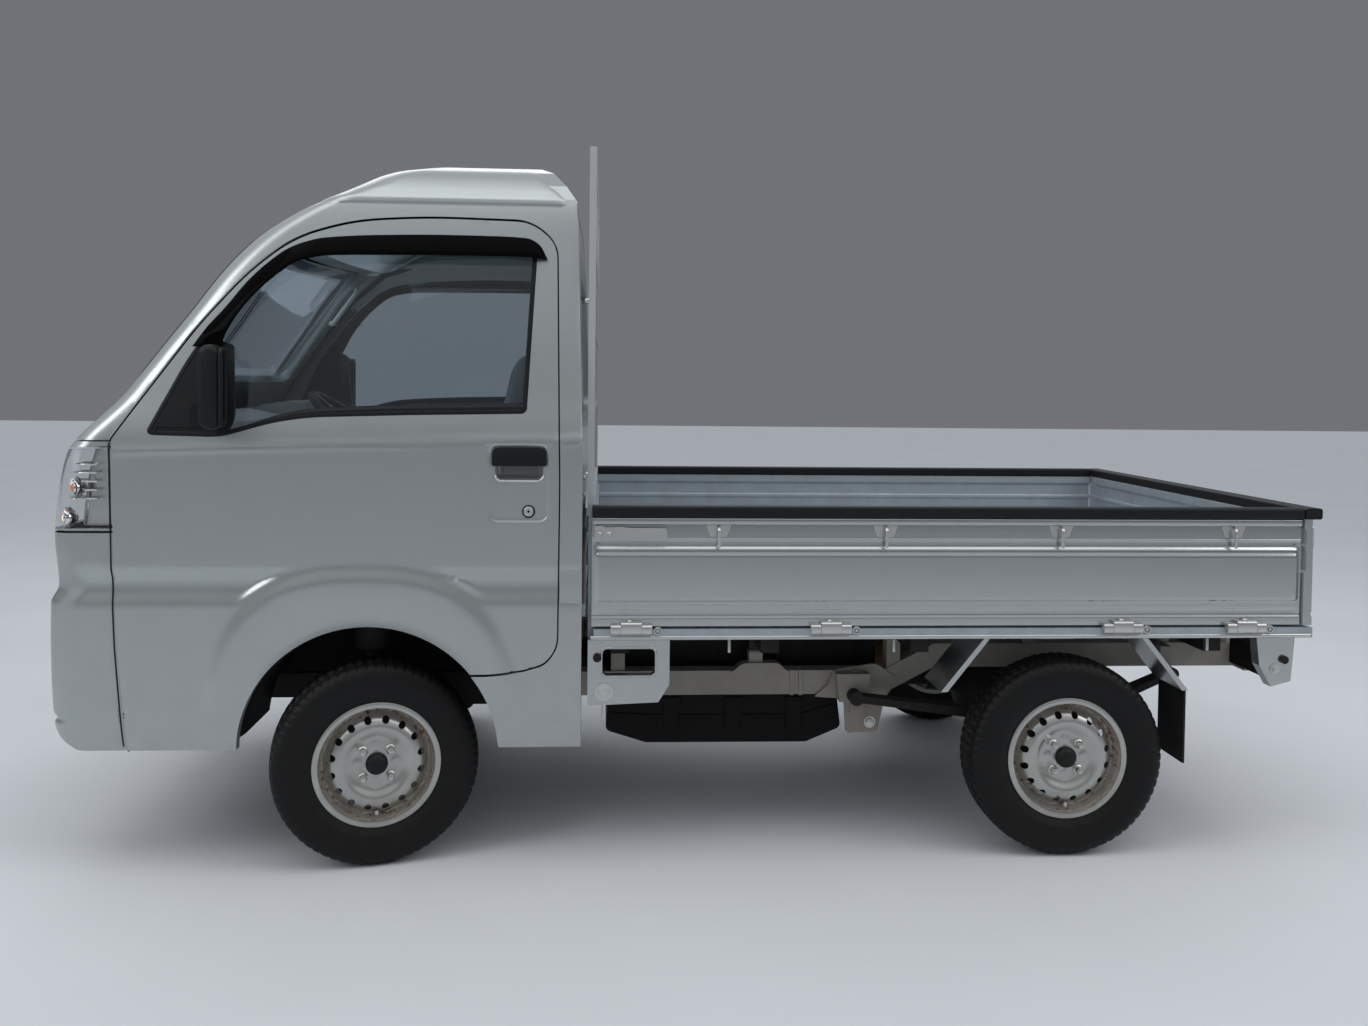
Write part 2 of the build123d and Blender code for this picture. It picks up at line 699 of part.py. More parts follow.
def hinge_side(x, part):
    """One hinge on the left edge: the fixed leaves with their pin, or the moving knuckle."""
    ends = (x - hinge_length / 2, x + hinge_length / 2)
    inner = (ends[0] + knuckle_length, ends[1] - knuckle_length)
    if part == "fixed":
        for span in ((ends[0], inner[0]), (inner[1], ends[1])):
            rod_x(span, gate_axis_y, gate_axis_z, hinge_radius)
            block(span, (side_rail_y[1] - 5, gate_axis_y), (gate_axis_z - hinge_radius, gate_axis_z - 2))
        rod_x(ends, gate_axis_y, gate_axis_z, hinge_pin_radius)
    else:
        moving = (inner[0] + 1, inner[1] - 1)
        rod_x(moving, gate_axis_y, gate_axis_z, hinge_radius)
        block(moving, (side_rail_y[1] - 6, gate_axis_y + hinge_radius), (gate_foot + 1, gate_foot + 19))
        block(moving, (gate_axis_y - 3, gate_axis_y + hinge_radius), (gate_axis_z, gate_foot + 3))
        rod_x(ends, gate_axis_y, gate_axis_z, hinge_pin_radius + pin_clearance, mode=Mode.SUBTRACT)


def hinge_rear(y, part):
    """One hinge on the rear edge, as on the sides."""
    ends = (y - hinge_length / 2, y + hinge_length / 2)
    inner = (ends[0] + knuckle_length, ends[1] - knuckle_length)
    if part == "fixed":
        for span in ((ends[0], inner[0]), (inner[1], ends[1])):
            rod_y(gate_axis_x, span, gate_axis_z, hinge_radius)
            block((gate_axis_x, rear_rail_x[0] + 5), span, (gate_axis_z - hinge_radius, gate_axis_z - 2))
        rod_y(gate_axis_x, ends, gate_axis_z, hinge_pin_radius)
    else:
        moving = (inner[0] + 1, inner[1] - 1)
        rod_y(gate_axis_x, moving, gate_axis_z, hinge_radius)
        block((gate_axis_x - hinge_radius, tail_x + 20), moving, (gate_foot + 1, gate_foot + 19))
        block((gate_axis_x - hinge_radius, gate_axis_x + 3), moving, (gate_axis_z, gate_foot + 3))
        rod_y(gate_axis_x, ends, gate_axis_z, hinge_pin_radius + pin_clearance, mode=Mode.SUBTRACT)


with BuildPart() as bed_deck:
    block((deck_rear_x, deck_front_x), (0, deck_half), (deck_top - deck_thickness, deck_top))
    block((rear_rail_x[1], deck_front_x), side_rail_y, side_rail_z)
    block(rear_rail_x, (0, side_rail_y[1]), side_rail_z)
    for x in side_hinges:
        hinge_side(x, "fixed")
    mirror(about=Plane.XZ)
    for y in tail_hinges:
        hinge_rear(y, "fixed")
finish("bed_deck", bed_deck)

with BuildPart() as deck_beams:
    for x, half_length in deck_sills:
        block((x - sill_width / 2, x + sill_width / 2), (0, half_length), sill_z)
    mirror(about=Plane.XZ)
finish("deck_beams", deck_beams)

# Gates: outer face as (distance in from the outside, height)
gate_face = [
    (4.5, gate_foot), (4.5, 712), (0, 720), (0, 833), (10.5, 856), (10.5, gate_top), (gate_thickness, gate_top),
    (gate_thickness, 905), (gate_thickness - 6, 897), (gate_thickness - 6, 790), (gate_thickness, 782),
    (gate_thickness, gate_foot),
]
side_gate_x = (tail_x + 52.5, bed_front_x - 2)
tail_gate_out = gate_axis_x + 7
tail_gate_in = tail_gate_out + gate_thickness
hook_xs = [-44, -492, -972, -1453]
with BuildPart() as side_gate:
    front_plate([(half_width - d, z) for d, z in gate_face], side_gate_x)
    for x in side_hinges:
        hinge_side(x, "moving")

with BuildPart() as tailgate:
    side_plate([(tail_gate_out + d, z) for d, z in gate_face], (-half_width + 1, half_width - 1))
    for y in tail_hinges:
        hinge_rear(y, "moving")
finish_pair("side_gate", side_gate)
finish("tailgate", tailgate)

rail_mid_y = half_width - gate_thickness / 2
with BuildPart() as side_gate_rail:
    block(side_gate_x, (rail_mid_y - rail_width / 2, rail_mid_y + rail_width / 2),
          (gate_top, gate_top + rail_height))
    fillet(side_gate_rail.edges().filter_by(Axis.X), 7)
with BuildPart() as tailgate_rail:
    block((tail_x, tail_gate_in), (-half_width - 3, half_width + 3), (gate_top, gate_top + rail_height))
    fillet(tailgate_rail.edges().filter_by(Axis.Y), 7)
finish_pair("side_gate_rail", side_gate_rail)
finish("tailgate_rail", tailgate_rail)

# Latch lever and rope hooks on each side gate
band_y = half_width - 10.5 + seat_gap
with BuildPart() as side_gate_fittings:
    block((92, 270), (band_y, band_y + 9), (886, 904))
    block((210, 284), (band_y, band_y + 13), (878, 912))
    for x in hook_xs:
        rod_z(x, band_y + 5, (874, 922), 5)
        rod_y(x, (band_y, band_y + 9), 918, 9)
finish_pair("side_gate_fittings", side_gate_fittings)

# Headboard with a guard frame of tubes above it
post_y = (662, 686)
post_x = (bed_front_x - 6, bed_front_x + 12)
bar = 16
with BuildPart() as headboard:
    block((deck_front_x + seat_gap, bed_front_x + 8), (-deck_half, deck_half), (deck_top - 44, gate_top))
    for z in (700, 790, 880):
        block((bed_front_x + 8, bed_front_x + 14), (-deck_half + 60, deck_half - 60), (z, z + 34))
    block((deck_front_x + seat_gap, bed_front_x + 14), (-deck_half, deck_half), (gate_top, board_top))
finish("headboard", headboard)

with BuildPart() as guard_frame:
    block(post_x, post_y, (board_top + seat_gap, guard_top - bar))
    for z in (1200, 1420, 1640):
        block((post_x[0] + 1, post_x[1] - 1), (0, post_y[0]), (z, z + bar))
    block(post_x, (0, post_y[1]), (guard_top - bar - 8, guard_top))
    for y in (120, 360):
        block((post_x[0] + 3, post_x[1] - 3), (y - 6, y + 6), (1200, guard_top - bar))
    mirror(about=Plane.XZ)
finish("guard_frame", guard_frame)

# Brackets, wheelhouse stays and mud flaps that hang from the side rails
hang_z = side_rail_z[0] - seat_gap
bracket_y = (698, half_width - 2.5)
with BuildPart() as side_brackets:
    side_plate([(299, hang_z), (83, hang_z), (83, 486), (112, 440), (299, 432)], bracket_y)
    side_plate([(262, 584), (120, 584), (120, 510), (262, 510)], (600, 800), mode=Mode.SUBTRACT, rounding=14)
    side_plate([(-1523, hang_z), (-1631, hang_z), (-1622, 486), (-1566, 471), (-1532, 530)], bracket_y)
    mirror(about=Plane.XZ)
finish("side_brackets", side_brackets)

with BuildPart() as wheelhouse_stays:
    side_plate([(-764, hang_z), (-780, hang_z), (-666, 462), (-648, 462)], (570, bracket_y[1]))
    side_plate([(-1218, hang_z), (-1202, hang_z), (-1316, 462), (-1334, 462)], (570, bracket_y[1]))
    mirror(about=Plane.XZ)
finish("wheelhouse_stays", wheelhouse_stays)

with BuildPart() as mud_flaps:
    block((-1334, -1328), (572, 722), (258, 462 - seat_gap))
    mirror(about=Plane.XZ)
finish("mud_flaps", mud_flaps)

with BuildPart() as tail_lamps:
    block((-1645, -1580), (490, 686), (sill_z[0] - 78, sill_z[0] - seat_gap))
    mirror(about=Plane.XZ)
finish("tail_lamps", tail_lamps)

# Rubber stops that the open side gates rest against
with BuildPart() as gate_stops:
    rod_y(274, (bracket_y[1] + seat_gap, half_width + 6), 560, 11)
    rod_y(-1600, (bracket_y[1] + seat_gap, half_width + 6), 546, 11)
    mirror(about=Plane.XZ)
finish("gate_stops", gate_stops)

# Two wipers that lie along the foot of the windscreen
with BuildPart() as wipers:
    for y in (-60, 300):
        with BuildSketch(Plane(origin=(nose_x - 133.2, y, 1244), x_dir=(0, 1, 0), z_dir=(0.83, 0, 0.56))) as blade:
            with Locations((-160, 4)):
                Rectangle(330, 12)
        extrude(blade.sketch, amount=8)
finish("wipers", wipers)
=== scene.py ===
import bmesh
import bpy
import numpy as np
from math import cos, pi, radians, sin
from mathutils import Matrix
from mathutils.geometry import delaunay_2d_cdt


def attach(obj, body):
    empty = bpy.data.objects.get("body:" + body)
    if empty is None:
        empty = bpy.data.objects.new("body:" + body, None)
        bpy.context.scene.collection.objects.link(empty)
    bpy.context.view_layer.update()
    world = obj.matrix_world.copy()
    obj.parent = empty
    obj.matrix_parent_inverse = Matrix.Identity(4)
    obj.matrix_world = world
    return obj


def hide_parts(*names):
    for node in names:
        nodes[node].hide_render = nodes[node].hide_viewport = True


# Small cab-over truck with a drop-side bed. Lengths are millimetres here and metres in the meshes.
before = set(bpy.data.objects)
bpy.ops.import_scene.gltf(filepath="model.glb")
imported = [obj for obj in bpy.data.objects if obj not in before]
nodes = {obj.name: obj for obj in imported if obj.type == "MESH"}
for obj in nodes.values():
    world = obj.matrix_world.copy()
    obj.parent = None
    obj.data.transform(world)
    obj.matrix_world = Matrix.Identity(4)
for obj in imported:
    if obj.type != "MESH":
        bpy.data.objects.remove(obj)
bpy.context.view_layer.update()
millimetre = 0.001
print("frame loaded")

truck = dict(
    noseX=1697.5, tailX=-1697.5, halfWidth=737.5, frontAxleX=890.0, rearAxleX=-1010.0,
    archX=870.0, archZ=305.0, archRadius=333.0, cabRearX=316.0,
    cowlZ=1124.0, bumperTopZ=889.0,
)
noseX = truck["noseX"]
tailX = truck["tailX"]
halfWidth = truck["halfWidth"]
bothSides = (("left", 1), ("right", -1))


# shapes: each is (vertices as an n by 3 array, list of faces)


def gridFaces(rows, columns, closeRows=False, closeColumns=False):
    # quads between neighbouring rows and columns of a grid stored row by row
    i = np.arange(rows if closeRows else rows - 1)
    j = np.arange(columns if closeColumns else columns - 1)
    i, j = np.meshgrid(i, j, indexing="ij")
    i2, j2 = (i + 1) % rows, (j + 1) % columns
    quads = np.stack([i * columns + j, i * columns + j2, i2 * columns + j2, i2 * columns + j], axis=-1)
    return quads.reshape(-1, 4).tolist()


def joinShapes(shapes):
    points, faces, start = [], [], 0
    for p, f in shapes:
        points.append(np.asarray(p, float))
        faces += [[k + start for k in face] for face in f]
        start += len(p)
    return np.vstack(points), faces


def mirrored(shape):
    # the same shape on the other side of the y = 0 plane
    points, faces = shape
    return points * np.array([1, -1, 1]), [face[::-1] for face in faces]


def onSide(shape, side):
    return shape if side > 0 else mirrored(shape)


def bothOf(shape):
    return joinShapes([shape, mirrored(shape)])


def unit(v):
    return v / np.maximum(np.linalg.norm(v, axis=-1, keepdims=True), 1e-9)


def smoothstep(t):
    t = np.clip(t, 0, 1)
    return t * t * (3 - 2 * t)


def pathFrames(path, closed):
    # a tangent, a side and a top at each point of a path, turned as little as the path allows
    path = np.asarray(path, float)
    if closed:
        tangent = unit(np.roll(path, -1, 0) - np.roll(path, 1, 0))
    else:
        tangent = unit(np.gradient(path, axis=0))
    helper = np.array([0.0, 0, 1]) if abs(tangent[0, 2]) < 0.9 else np.array([0.0, 1, 0])
    sides = []
    side = unit(np.cross(helper, tangent[0]))
    for t in tangent:
        side = unit(side - t * (side @ t))
        sides.append(side)
    sides = np.array(sides)
    return path, tangent, sides, np.cross(tangent, sides)


def sweep(path, profile, closed=False):
    # a closed profile of (side, top) offsets carried along a path, its open ends capped
    path, tangent, side, top = pathFrames(path, closed)
    profile = np.asarray(profile, float)
    points = path[:, None] + side[:, None] * profile[None, :, :1] + top[:, None] * profile[None, :, 1:]
    rows, columns = len(path), len(profile)
    faces = gridFaces(rows, columns, closeRows=closed, closeColumns=True)
    if not closed:
        faces += [list(range(columns))[::-1], list(range((rows - 1) * columns, rows * columns))]
        faces = [face[::-1] for face in faces]
    return points.reshape(-1, 3), faces


def circle(radius, sides=12):
    a = np.linspace(0, 2 * pi, sides, endpoint=False)
    return np.stack([radius * np.cos(a), radius * np.sin(a)], axis=-1)


def bendPath(points, radius, steps=6):
    # a run of straight lines with each corner replaced by a smooth curve that starts a radius before it
    points = [np.asarray(p, float) for p in points]
    path = [points[0]]
    for a, b, c in zip(points, points[1:], points[2:]):
        cut = min(radius, 0.48 * np.linalg.norm(b - a), 0.48 * np.linalg.norm(c - b))
        start, end = b + unit(a - b) * cut, b + unit(c - b) * cut
        for t in np.linspace(0, 1, steps + 1):
            path.append((1 - t) ** 2 * start + 2 * t * (1 - t) * b + t * t * end)
    path.append(points[-1])
    return np.array(path)


def lathe(profile, centre, axis, sides=48, closedProfile=False):
    # (along, radius) pairs turned about an axis through a centre; ends at radius 0 close to a point
    axis = unit(np.asarray(axis, float))
    helper = np.array([0.0, 0, 1]) if abs(axis[2]) < 0.9 else np.array([1.0, 0, 0])
    u = unit(np.cross(helper, axis))
    v = np.cross(axis, u)
    profile = np.asarray(profile, float)
    a = np.linspace(0, 2 * pi, sides, endpoint=False)
    ring = np.cos(a)[:, None] * u + np.sin(a)[:, None] * v
    points = np.asarray(centre, float) + profile[:, None, :1] * axis + profile[:, None, 1:] * ring[None]
    rows = len(profile)
    faces = gridFaces(rows, sides, closeRows=closedProfile, closeColumns=True)
    points = points.reshape(-1, 3)
    if not closedProfile:
        faces += [list(range(sides))[::-1], list(range((rows - 1) * sides, rows * sides))]
    return points, faces


def prism(outline, low, high, along):
    # a closed outline carried straight from low to high; along is the axis x, y or z
    outline = np.asarray(outline, float)
    count = len(outline)
    x, y, z = {"x": lambda h: (np.full(count, h), outline[:, 0], outline[:, 1]),
        "y": lambda h: (outline[:, 0], np.full(count, h), outline[:, 1]),
        "z": lambda h: (outline[:, 0], outline[:, 1], np.full(count, h)),}[along](low)
    first = np.stack([x, y, z], axis=-1)
    step = {"x": 0, "y": 1, "z": 2}[along]
    second = first.copy()
    second[:, step] = high
    faces = gridFaces(2, count, closeColumns=True)
    faces += [list(range(count))[::-1], list(range(count, 2 * count))]
    return np.vstack([first, second]), faces


def box(x, y, z):
    # a plain block between three pairs of limits, to be bevelled by its piece
    return prism([(x[0], y[0]), (x[1], y[0]), (x[1], y[1]), (x[0], y[1])], z[0], z[1], "z")


def volumeOf(points, faces):
    # six times the signed volume inside a closed shape of any faces
    total = 0.0
    for k in {len(f) for f in faces}:
        group = np.array([f for f in faces if len(f) == k])
        a = points[group[:, 0]]
        for j in range(1, k - 1):
            total += np.sum(a * np.cross(points[group[:, j]], points[group[:, j + 1]]))
    return total


def facingOut(points, faces, centre=(0, 0, 0)):
    # a closed shape with its faces turned outwards
    if volumeOf(np.asarray(points) - np.asarray(centre, float), faces) < 0:
        faces = [f[::-1] for f in faces]
    return points, faces


def turned(profile, centre, axis, sides=48, closedProfile=False):
    return facingOut(*lathe(profile, centre, axis, sides, closedProfile), centre)


def prismSolid(outline, low, high, along):
    return facingOut(*prism(outline, low, high, along))


def sweptSolid(path, profile, closed=False):
    return facingOut(*sweep(path, profile, closed))


def sheet(outer, inner):
    # a closed thin wall from two grids of points with the same rows and columns
    rows, columns = outer.shape[:2]
    faces = gridFaces(rows, columns)
    count = rows * columns
    loop = (list(range(columns)) + list(range(2 * columns - 1, count, columns))
        + list(range(count - 2, count - columns - 1, -1)) + list(range(count - 2 * columns, 0, -columns)))
    rim = [[b, a, a + count, b + count] for a, b in zip(loop, loop[1:] + loop[:1])]
    points = np.vstack([outer.reshape(-1, 3), inner.reshape(-1, 3)])
    return points, faces + [[k + count for k in f[::-1]] for f in faces] + rim


def roundRect(u, v, radius, steps=5):
    # outline of a rectangle between two pairs of limits with round corners
    radius = min(radius, 0.499 * abs(u[1] - u[0]), 0.499 * abs(v[1] - v[0]))
    a = np.linspace(0, pi / 2, steps)
    corners = [(u[1] - radius, v[1] - radius, 0), (u[0] + radius, v[1] - radius, pi / 2),
        (u[0] + radius, v[0] + radius, pi), (u[1] - radius, v[0] + radius, 1.5 * pi)]
    parts = [np.stack([cu + radius * np.cos(a + t), cv + radius * np.sin(a + t)], -1) for cu, cv,
        t in corners]
    return np.vstack(parts)


def softOutline(points, radius, step=9.0):
    # a closed polygon with its corners rounded and its sides divided into short steps
    points = np.asarray(points, float)
    count = len(points)
    corner = []
    for k in range(count):
        a, b, c = points[k - 1], points[k], points[(k + 1) % count]
        r = radius[k] if isinstance(radius, (list, tuple)) else radius
        cut = min(r, 0.45 * np.linalg.norm(b - a), 0.45 * np.linalg.norm(c - b))
        start, end = b + unit(a - b) * cut, b + unit(c - b) * cut
        t = np.linspace(0, 1, 2 if cut < 0.5 else 7)[:, None]
        corner.append((1 - t) ** 2 * start + 2 * t * (1 - t) * b + t * t * end)
    ring = np.vstack(corner)
    ring = ring[np.linalg.norm(ring - np.roll(ring, 1, 0), axis=1) > 0.05]
    out = []
    for a, b in zip(ring, np.roll(ring, -1, 0)):
        steps = max(1, int(round(np.linalg.norm(b - a) / step)))
        out.append(a + (b - a) * np.linspace(0, 1, steps, endpoint=False)[:, None])
    return np.vstack(out)


def drawnIn(outline, gap):
    # the outline moved inwards by a gap, whichever way round it runs
    outline = np.asarray(outline, float)
    nextOne = np.roll(outline, -1, 0)
    area = np.sum(outline[:, 0] * nextOne[:, 1] - nextOne[:, 0] * outline[:, 1])
    tangent = unit(np.roll(outline, -1, 0) - np.roll(outline, 1, 0))
    inward = np.stack([-tangent[:, 1], tangent[:, 0]], -1) * (1 if area > 0 else -1)
    return outline + inward * gap


def inside(points, outline):
    # which points lie inside a closed outline, by counting the sides crossed by a ray
    crossings = np.zeros(len(points), int)
    x, y = points[:, 0], points[:, 1]
    for (ax, ay), (bx, by) in zip(outline, np.roll(outline, -1, 0)):
        if ay == by:
            continue
        hit = ((ay > y) != (by > y)) & (x < (bx - ax) * (y - ay) / (by - ay) + ax)
        crossings += hit
    return crossings % 2 == 1


def fillOutline(outline, holes, spacing=16.0, fine=()):
    # flat points and triangles that fill an outline less its holes;
    # fine lists windows of closer points as (first limits, second limits, step)
    rings = [np.asarray(r, float) for r in [outline, *holes]]
    low, high = rings[0].min(0), rings[0].max(0)

    def lattice(a, b, step):
        u, v = np.meshgrid(np.arange(*a, step), np.arange(*b, step))
        return np.stack([u.ravel(), v.ravel()], -1), np.full(u.size, step)

    def kept(points):
        keep = inside(points, rings[0])
        for ring in rings[1:]:
            keep &= ~inside(points, ring)
        return keep

    fill, reach = lattice((low[0], high[0]), (low[1], high[1]), spacing)
    for us, vs, step in fine:
        within = (fill[:, 0] > us[0]) & (fill[:, 0] < us[1]) & (fill[:, 1] > vs[0]) & (fill[:, 1] < vs[1])
        extra, extraReach = lattice(us, vs, step)
        fill, reach = np.vstack([fill[~within], extra]), np.concatenate([reach[~within], extraReach])
    keep = kept(fill)
    fill, reach = fill[keep], reach[keep]
    border = np.vstack(rings)
    far = np.full(len(fill), 1e9)
    for k in range(0, len(border), 64):
        far = np.minimum(far, np.linalg.norm(fill[:, None] - border[None, k:k + 64], axis=2).min(1))
    fill = fill[far > 0.5 * reach]
    edges, start = [], 0
    for ring in rings:
        loop = list(range(start, start + len(ring)))
        edges += list(zip(loop, loop[1:] + loop[:1]))
        start += len(ring)
    flat, _, faces, *_ = delaunay_2d_cdt([tuple(p) for p in np.vstack([border, fill])], edges, [], 0, 1e-3)
    flat = np.array([tuple(p) for p in flat])
    faces = np.array([list(f) for f in faces])
    faces = faces[kept(flat[faces].mean(1))]
    used, order = np.unique(faces, return_inverse=True)
    return flat[used], order.reshape(faces.shape)


def panel(outline, holes, outer, inner, spacing=16.0, fine=(), toward=(0, 1, 0)):
    # a closed wall: the filled outline laid on an outer and an inner surface, joined round every edge
    flat, faces = fillOutline(outline, holes, spacing, fine)
    front, back = outer(flat[:, 0], flat[:, 1]), inner(flat[:, 0], flat[:, 1])
    a, b, c = (front[faces[:, k]] for k in range(3))
    if np.sum(np.cross(b - a, c - a) @ np.asarray(toward, float)) < 0:
        faces = faces[:, ::-1]
    count = len(flat)
    edges = np.concatenate([faces[:, [0, 1]], faces[:, [1, 2]], faces[:, [2, 0]]])
    code = edges[:, 0] * count + edges[:, 1]
    alone = edges[~np.isin(code, edges[:, 1] * count + edges[:, 0])]
    rim = np.stack([alone[:, 1], alone[:, 0], alone[:, 0] + count, alone[:, 1] + count], -1)
    return np.vstack([front, back]), faces.tolist() + (faces[:, ::-1] + count).tolist() + rim.tolist()


def facing(shape, direction):
    # the shape turned so that most of its faces look along a direction
    points, faces = shape
    a, b, c = (points[[f[k] for f in faces]] for k in range(3))
    if np.sum(np.cross(b - a, c - a) @ np.asarray(direction, float)) < 0:
        faces = [f[::-1] for f in faces]
    return points, faces


def piece(name, shapes, material, body="chassis", slot=None, bevel=0, wall=0, subdivide=0, sharp=32,
          smooth=True, bevelSteps=2, weld=False):
    # one finished object from one or more shapes, its finish given as a material or by name; the slot
    # argument is not used
    if isinstance(material, str):
        slot = slot or material
        material = finish[material]
    points, faces = joinShapes(shapes if isinstance(shapes, list) else [shapes])
    mesh = bpy.data.meshes.new(name)
    mesh.from_pydata((points * millimetre).tolist(), [], faces)
    if weld:
        work = bmesh.new()
        work.from_mesh(mesh)
        bmesh.ops.remove_doubles(work, verts=work.verts, dist=1e-5)
        bmesh.ops.recalc_face_normals(work, faces=work.faces)
        work.to_mesh(mesh)
        work.free()
    if smooth:
        mesh.shade_smooth()
        mesh.set_sharp_from_angle(angle=radians(sharp))
    obj = bpy.data.objects.new(name, mesh)
    bpy.context.scene.collection.objects.link(obj)
    for m in material if isinstance(material, list) else [material]:
        mesh.materials.append(m)
    if wall:
        thick = obj.modifiers.new("wall", "SOLIDIFY")
        thick.thickness = wall * millimetre
        thick.offset = -1
    if bevel:
        edge = obj.modifiers.new("softEdges", "BEVEL")
        edge.width = bevel * millimetre
        edge.segments = bevelSteps
        edge.limit_method = "ANGLE"
        edge.angle_limit = radians(35)
        edge.harden_normals = True
    if subdivide:
        finer = obj.modifiers.new("finer", "SUBSURF")
        finer.levels = subdivide
        finer.render_levels = subdivide
    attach(obj, body)
    return obj


def zonePiece(obj, test, labels):
    # gives each face the finish that the test of its centre picks: 0 is its own, then the labels in turn
    mesh = obj.data
    centres = np.empty(len(mesh.polygons) * 3)
    mesh.polygons.foreach_get("center", centres)
    index = test(centres.reshape(-1, 3) / millimetre).astype(np.int32)
    for label in labels:
        mesh.materials.append(finish[label])
    mesh.polygons.foreach_set("material_index", index)


# camera, floor and light

view = dict(
    place=(259.0, 3868.7, 1291.7), yaw=0.0666, pitch=0.0329, roll=0.0108,
    focal=1195.4, middleX=684.6, middleY=419.8, width=1368, height=1026,
)


def addCamera(v):
    # the camera's axes from its yaw, pitch and roll; the lens and shift from the picture's width
    forward = np.array([-sin(v["yaw"]), -cos(v["yaw"]), 0])
    right = np.array([-cos(v["yaw"]), sin(v["yaw"]), 0])
    down = np.array([0.0, 0, -1])
    forward, down = (forward * cos(v["pitch"]) + down * sin(v["pitch"]),
        down * cos(v["pitch"]) - forward * sin(v["pitch"]))
    right, down = (right * cos(v["roll"]) - down * sin(v["roll"]),
        down * cos(v["roll"]) + right * sin(v["roll"]))
    data = bpy.data.cameras.new("camera")
    data.sensor_width = 36
    data.lens = v["focal"] / v["width"] * 36
    data.shift_x = (v["width"] / 2 - v["middleX"]) / v["width"]
    data.shift_y = (v["middleY"] - v["height"] / 2) / v["width"]
    data.clip_end = 100
    camera = bpy.data.objects.new("camera", data)
    bpy.context.scene.collection.objects.link(camera)
    turn = Matrix(((right[0], -down[0], -forward[0]), (right[1], -down[1], -forward[1]),
        (right[2], -down[2], -forward[2]))).to_4x4()
    camera.matrix_world = Matrix.Translation([c * millimetre for c in v["place"]]) @ turn
    bpy.context.scene.camera = camera


addCamera(view)
bpy.context.scene.view_settings.view_transform = "Standard"

studio = dict(
    floorColor=(0.68, 0.695, 0.72), wallColor=(0.165, 0.17, 0.185), skyStrength=0.85,
    # light of the sky from the horizon up: sine of the height, level
    sky=[(0.0, 0.075), (0.07, 0.10), (0.20, 0.34), (0.42, 0.66), (0.75, 0.72), (1.0, 0.66)],
    lamps=[
        # place, where it points, size, power in watts
        ((0.2, 1.9, 5.4), (0, 0, 0.8), (7.5, 3.6), 90),
        ((4.4, 3.0, 3.4), (0.8, 0, 0.9), (2.2, 2.2), 50),
        ((-4.6, 2.4, 3.6), (-0.8, 0, 0.7), (2.4, 2.4), 50),
        ((0, -4.5, 4.5), (0, 0, 0.8), (6.0, 2.0), 55),
    ],
)


def newMaterial(name):
    material = bpy.data.materials.new(name)
    material.use_nodes = True
    nodesOf = material.node_tree.nodes
    nodesOf.clear()
    return material, nodesOf, material.node_tree.links


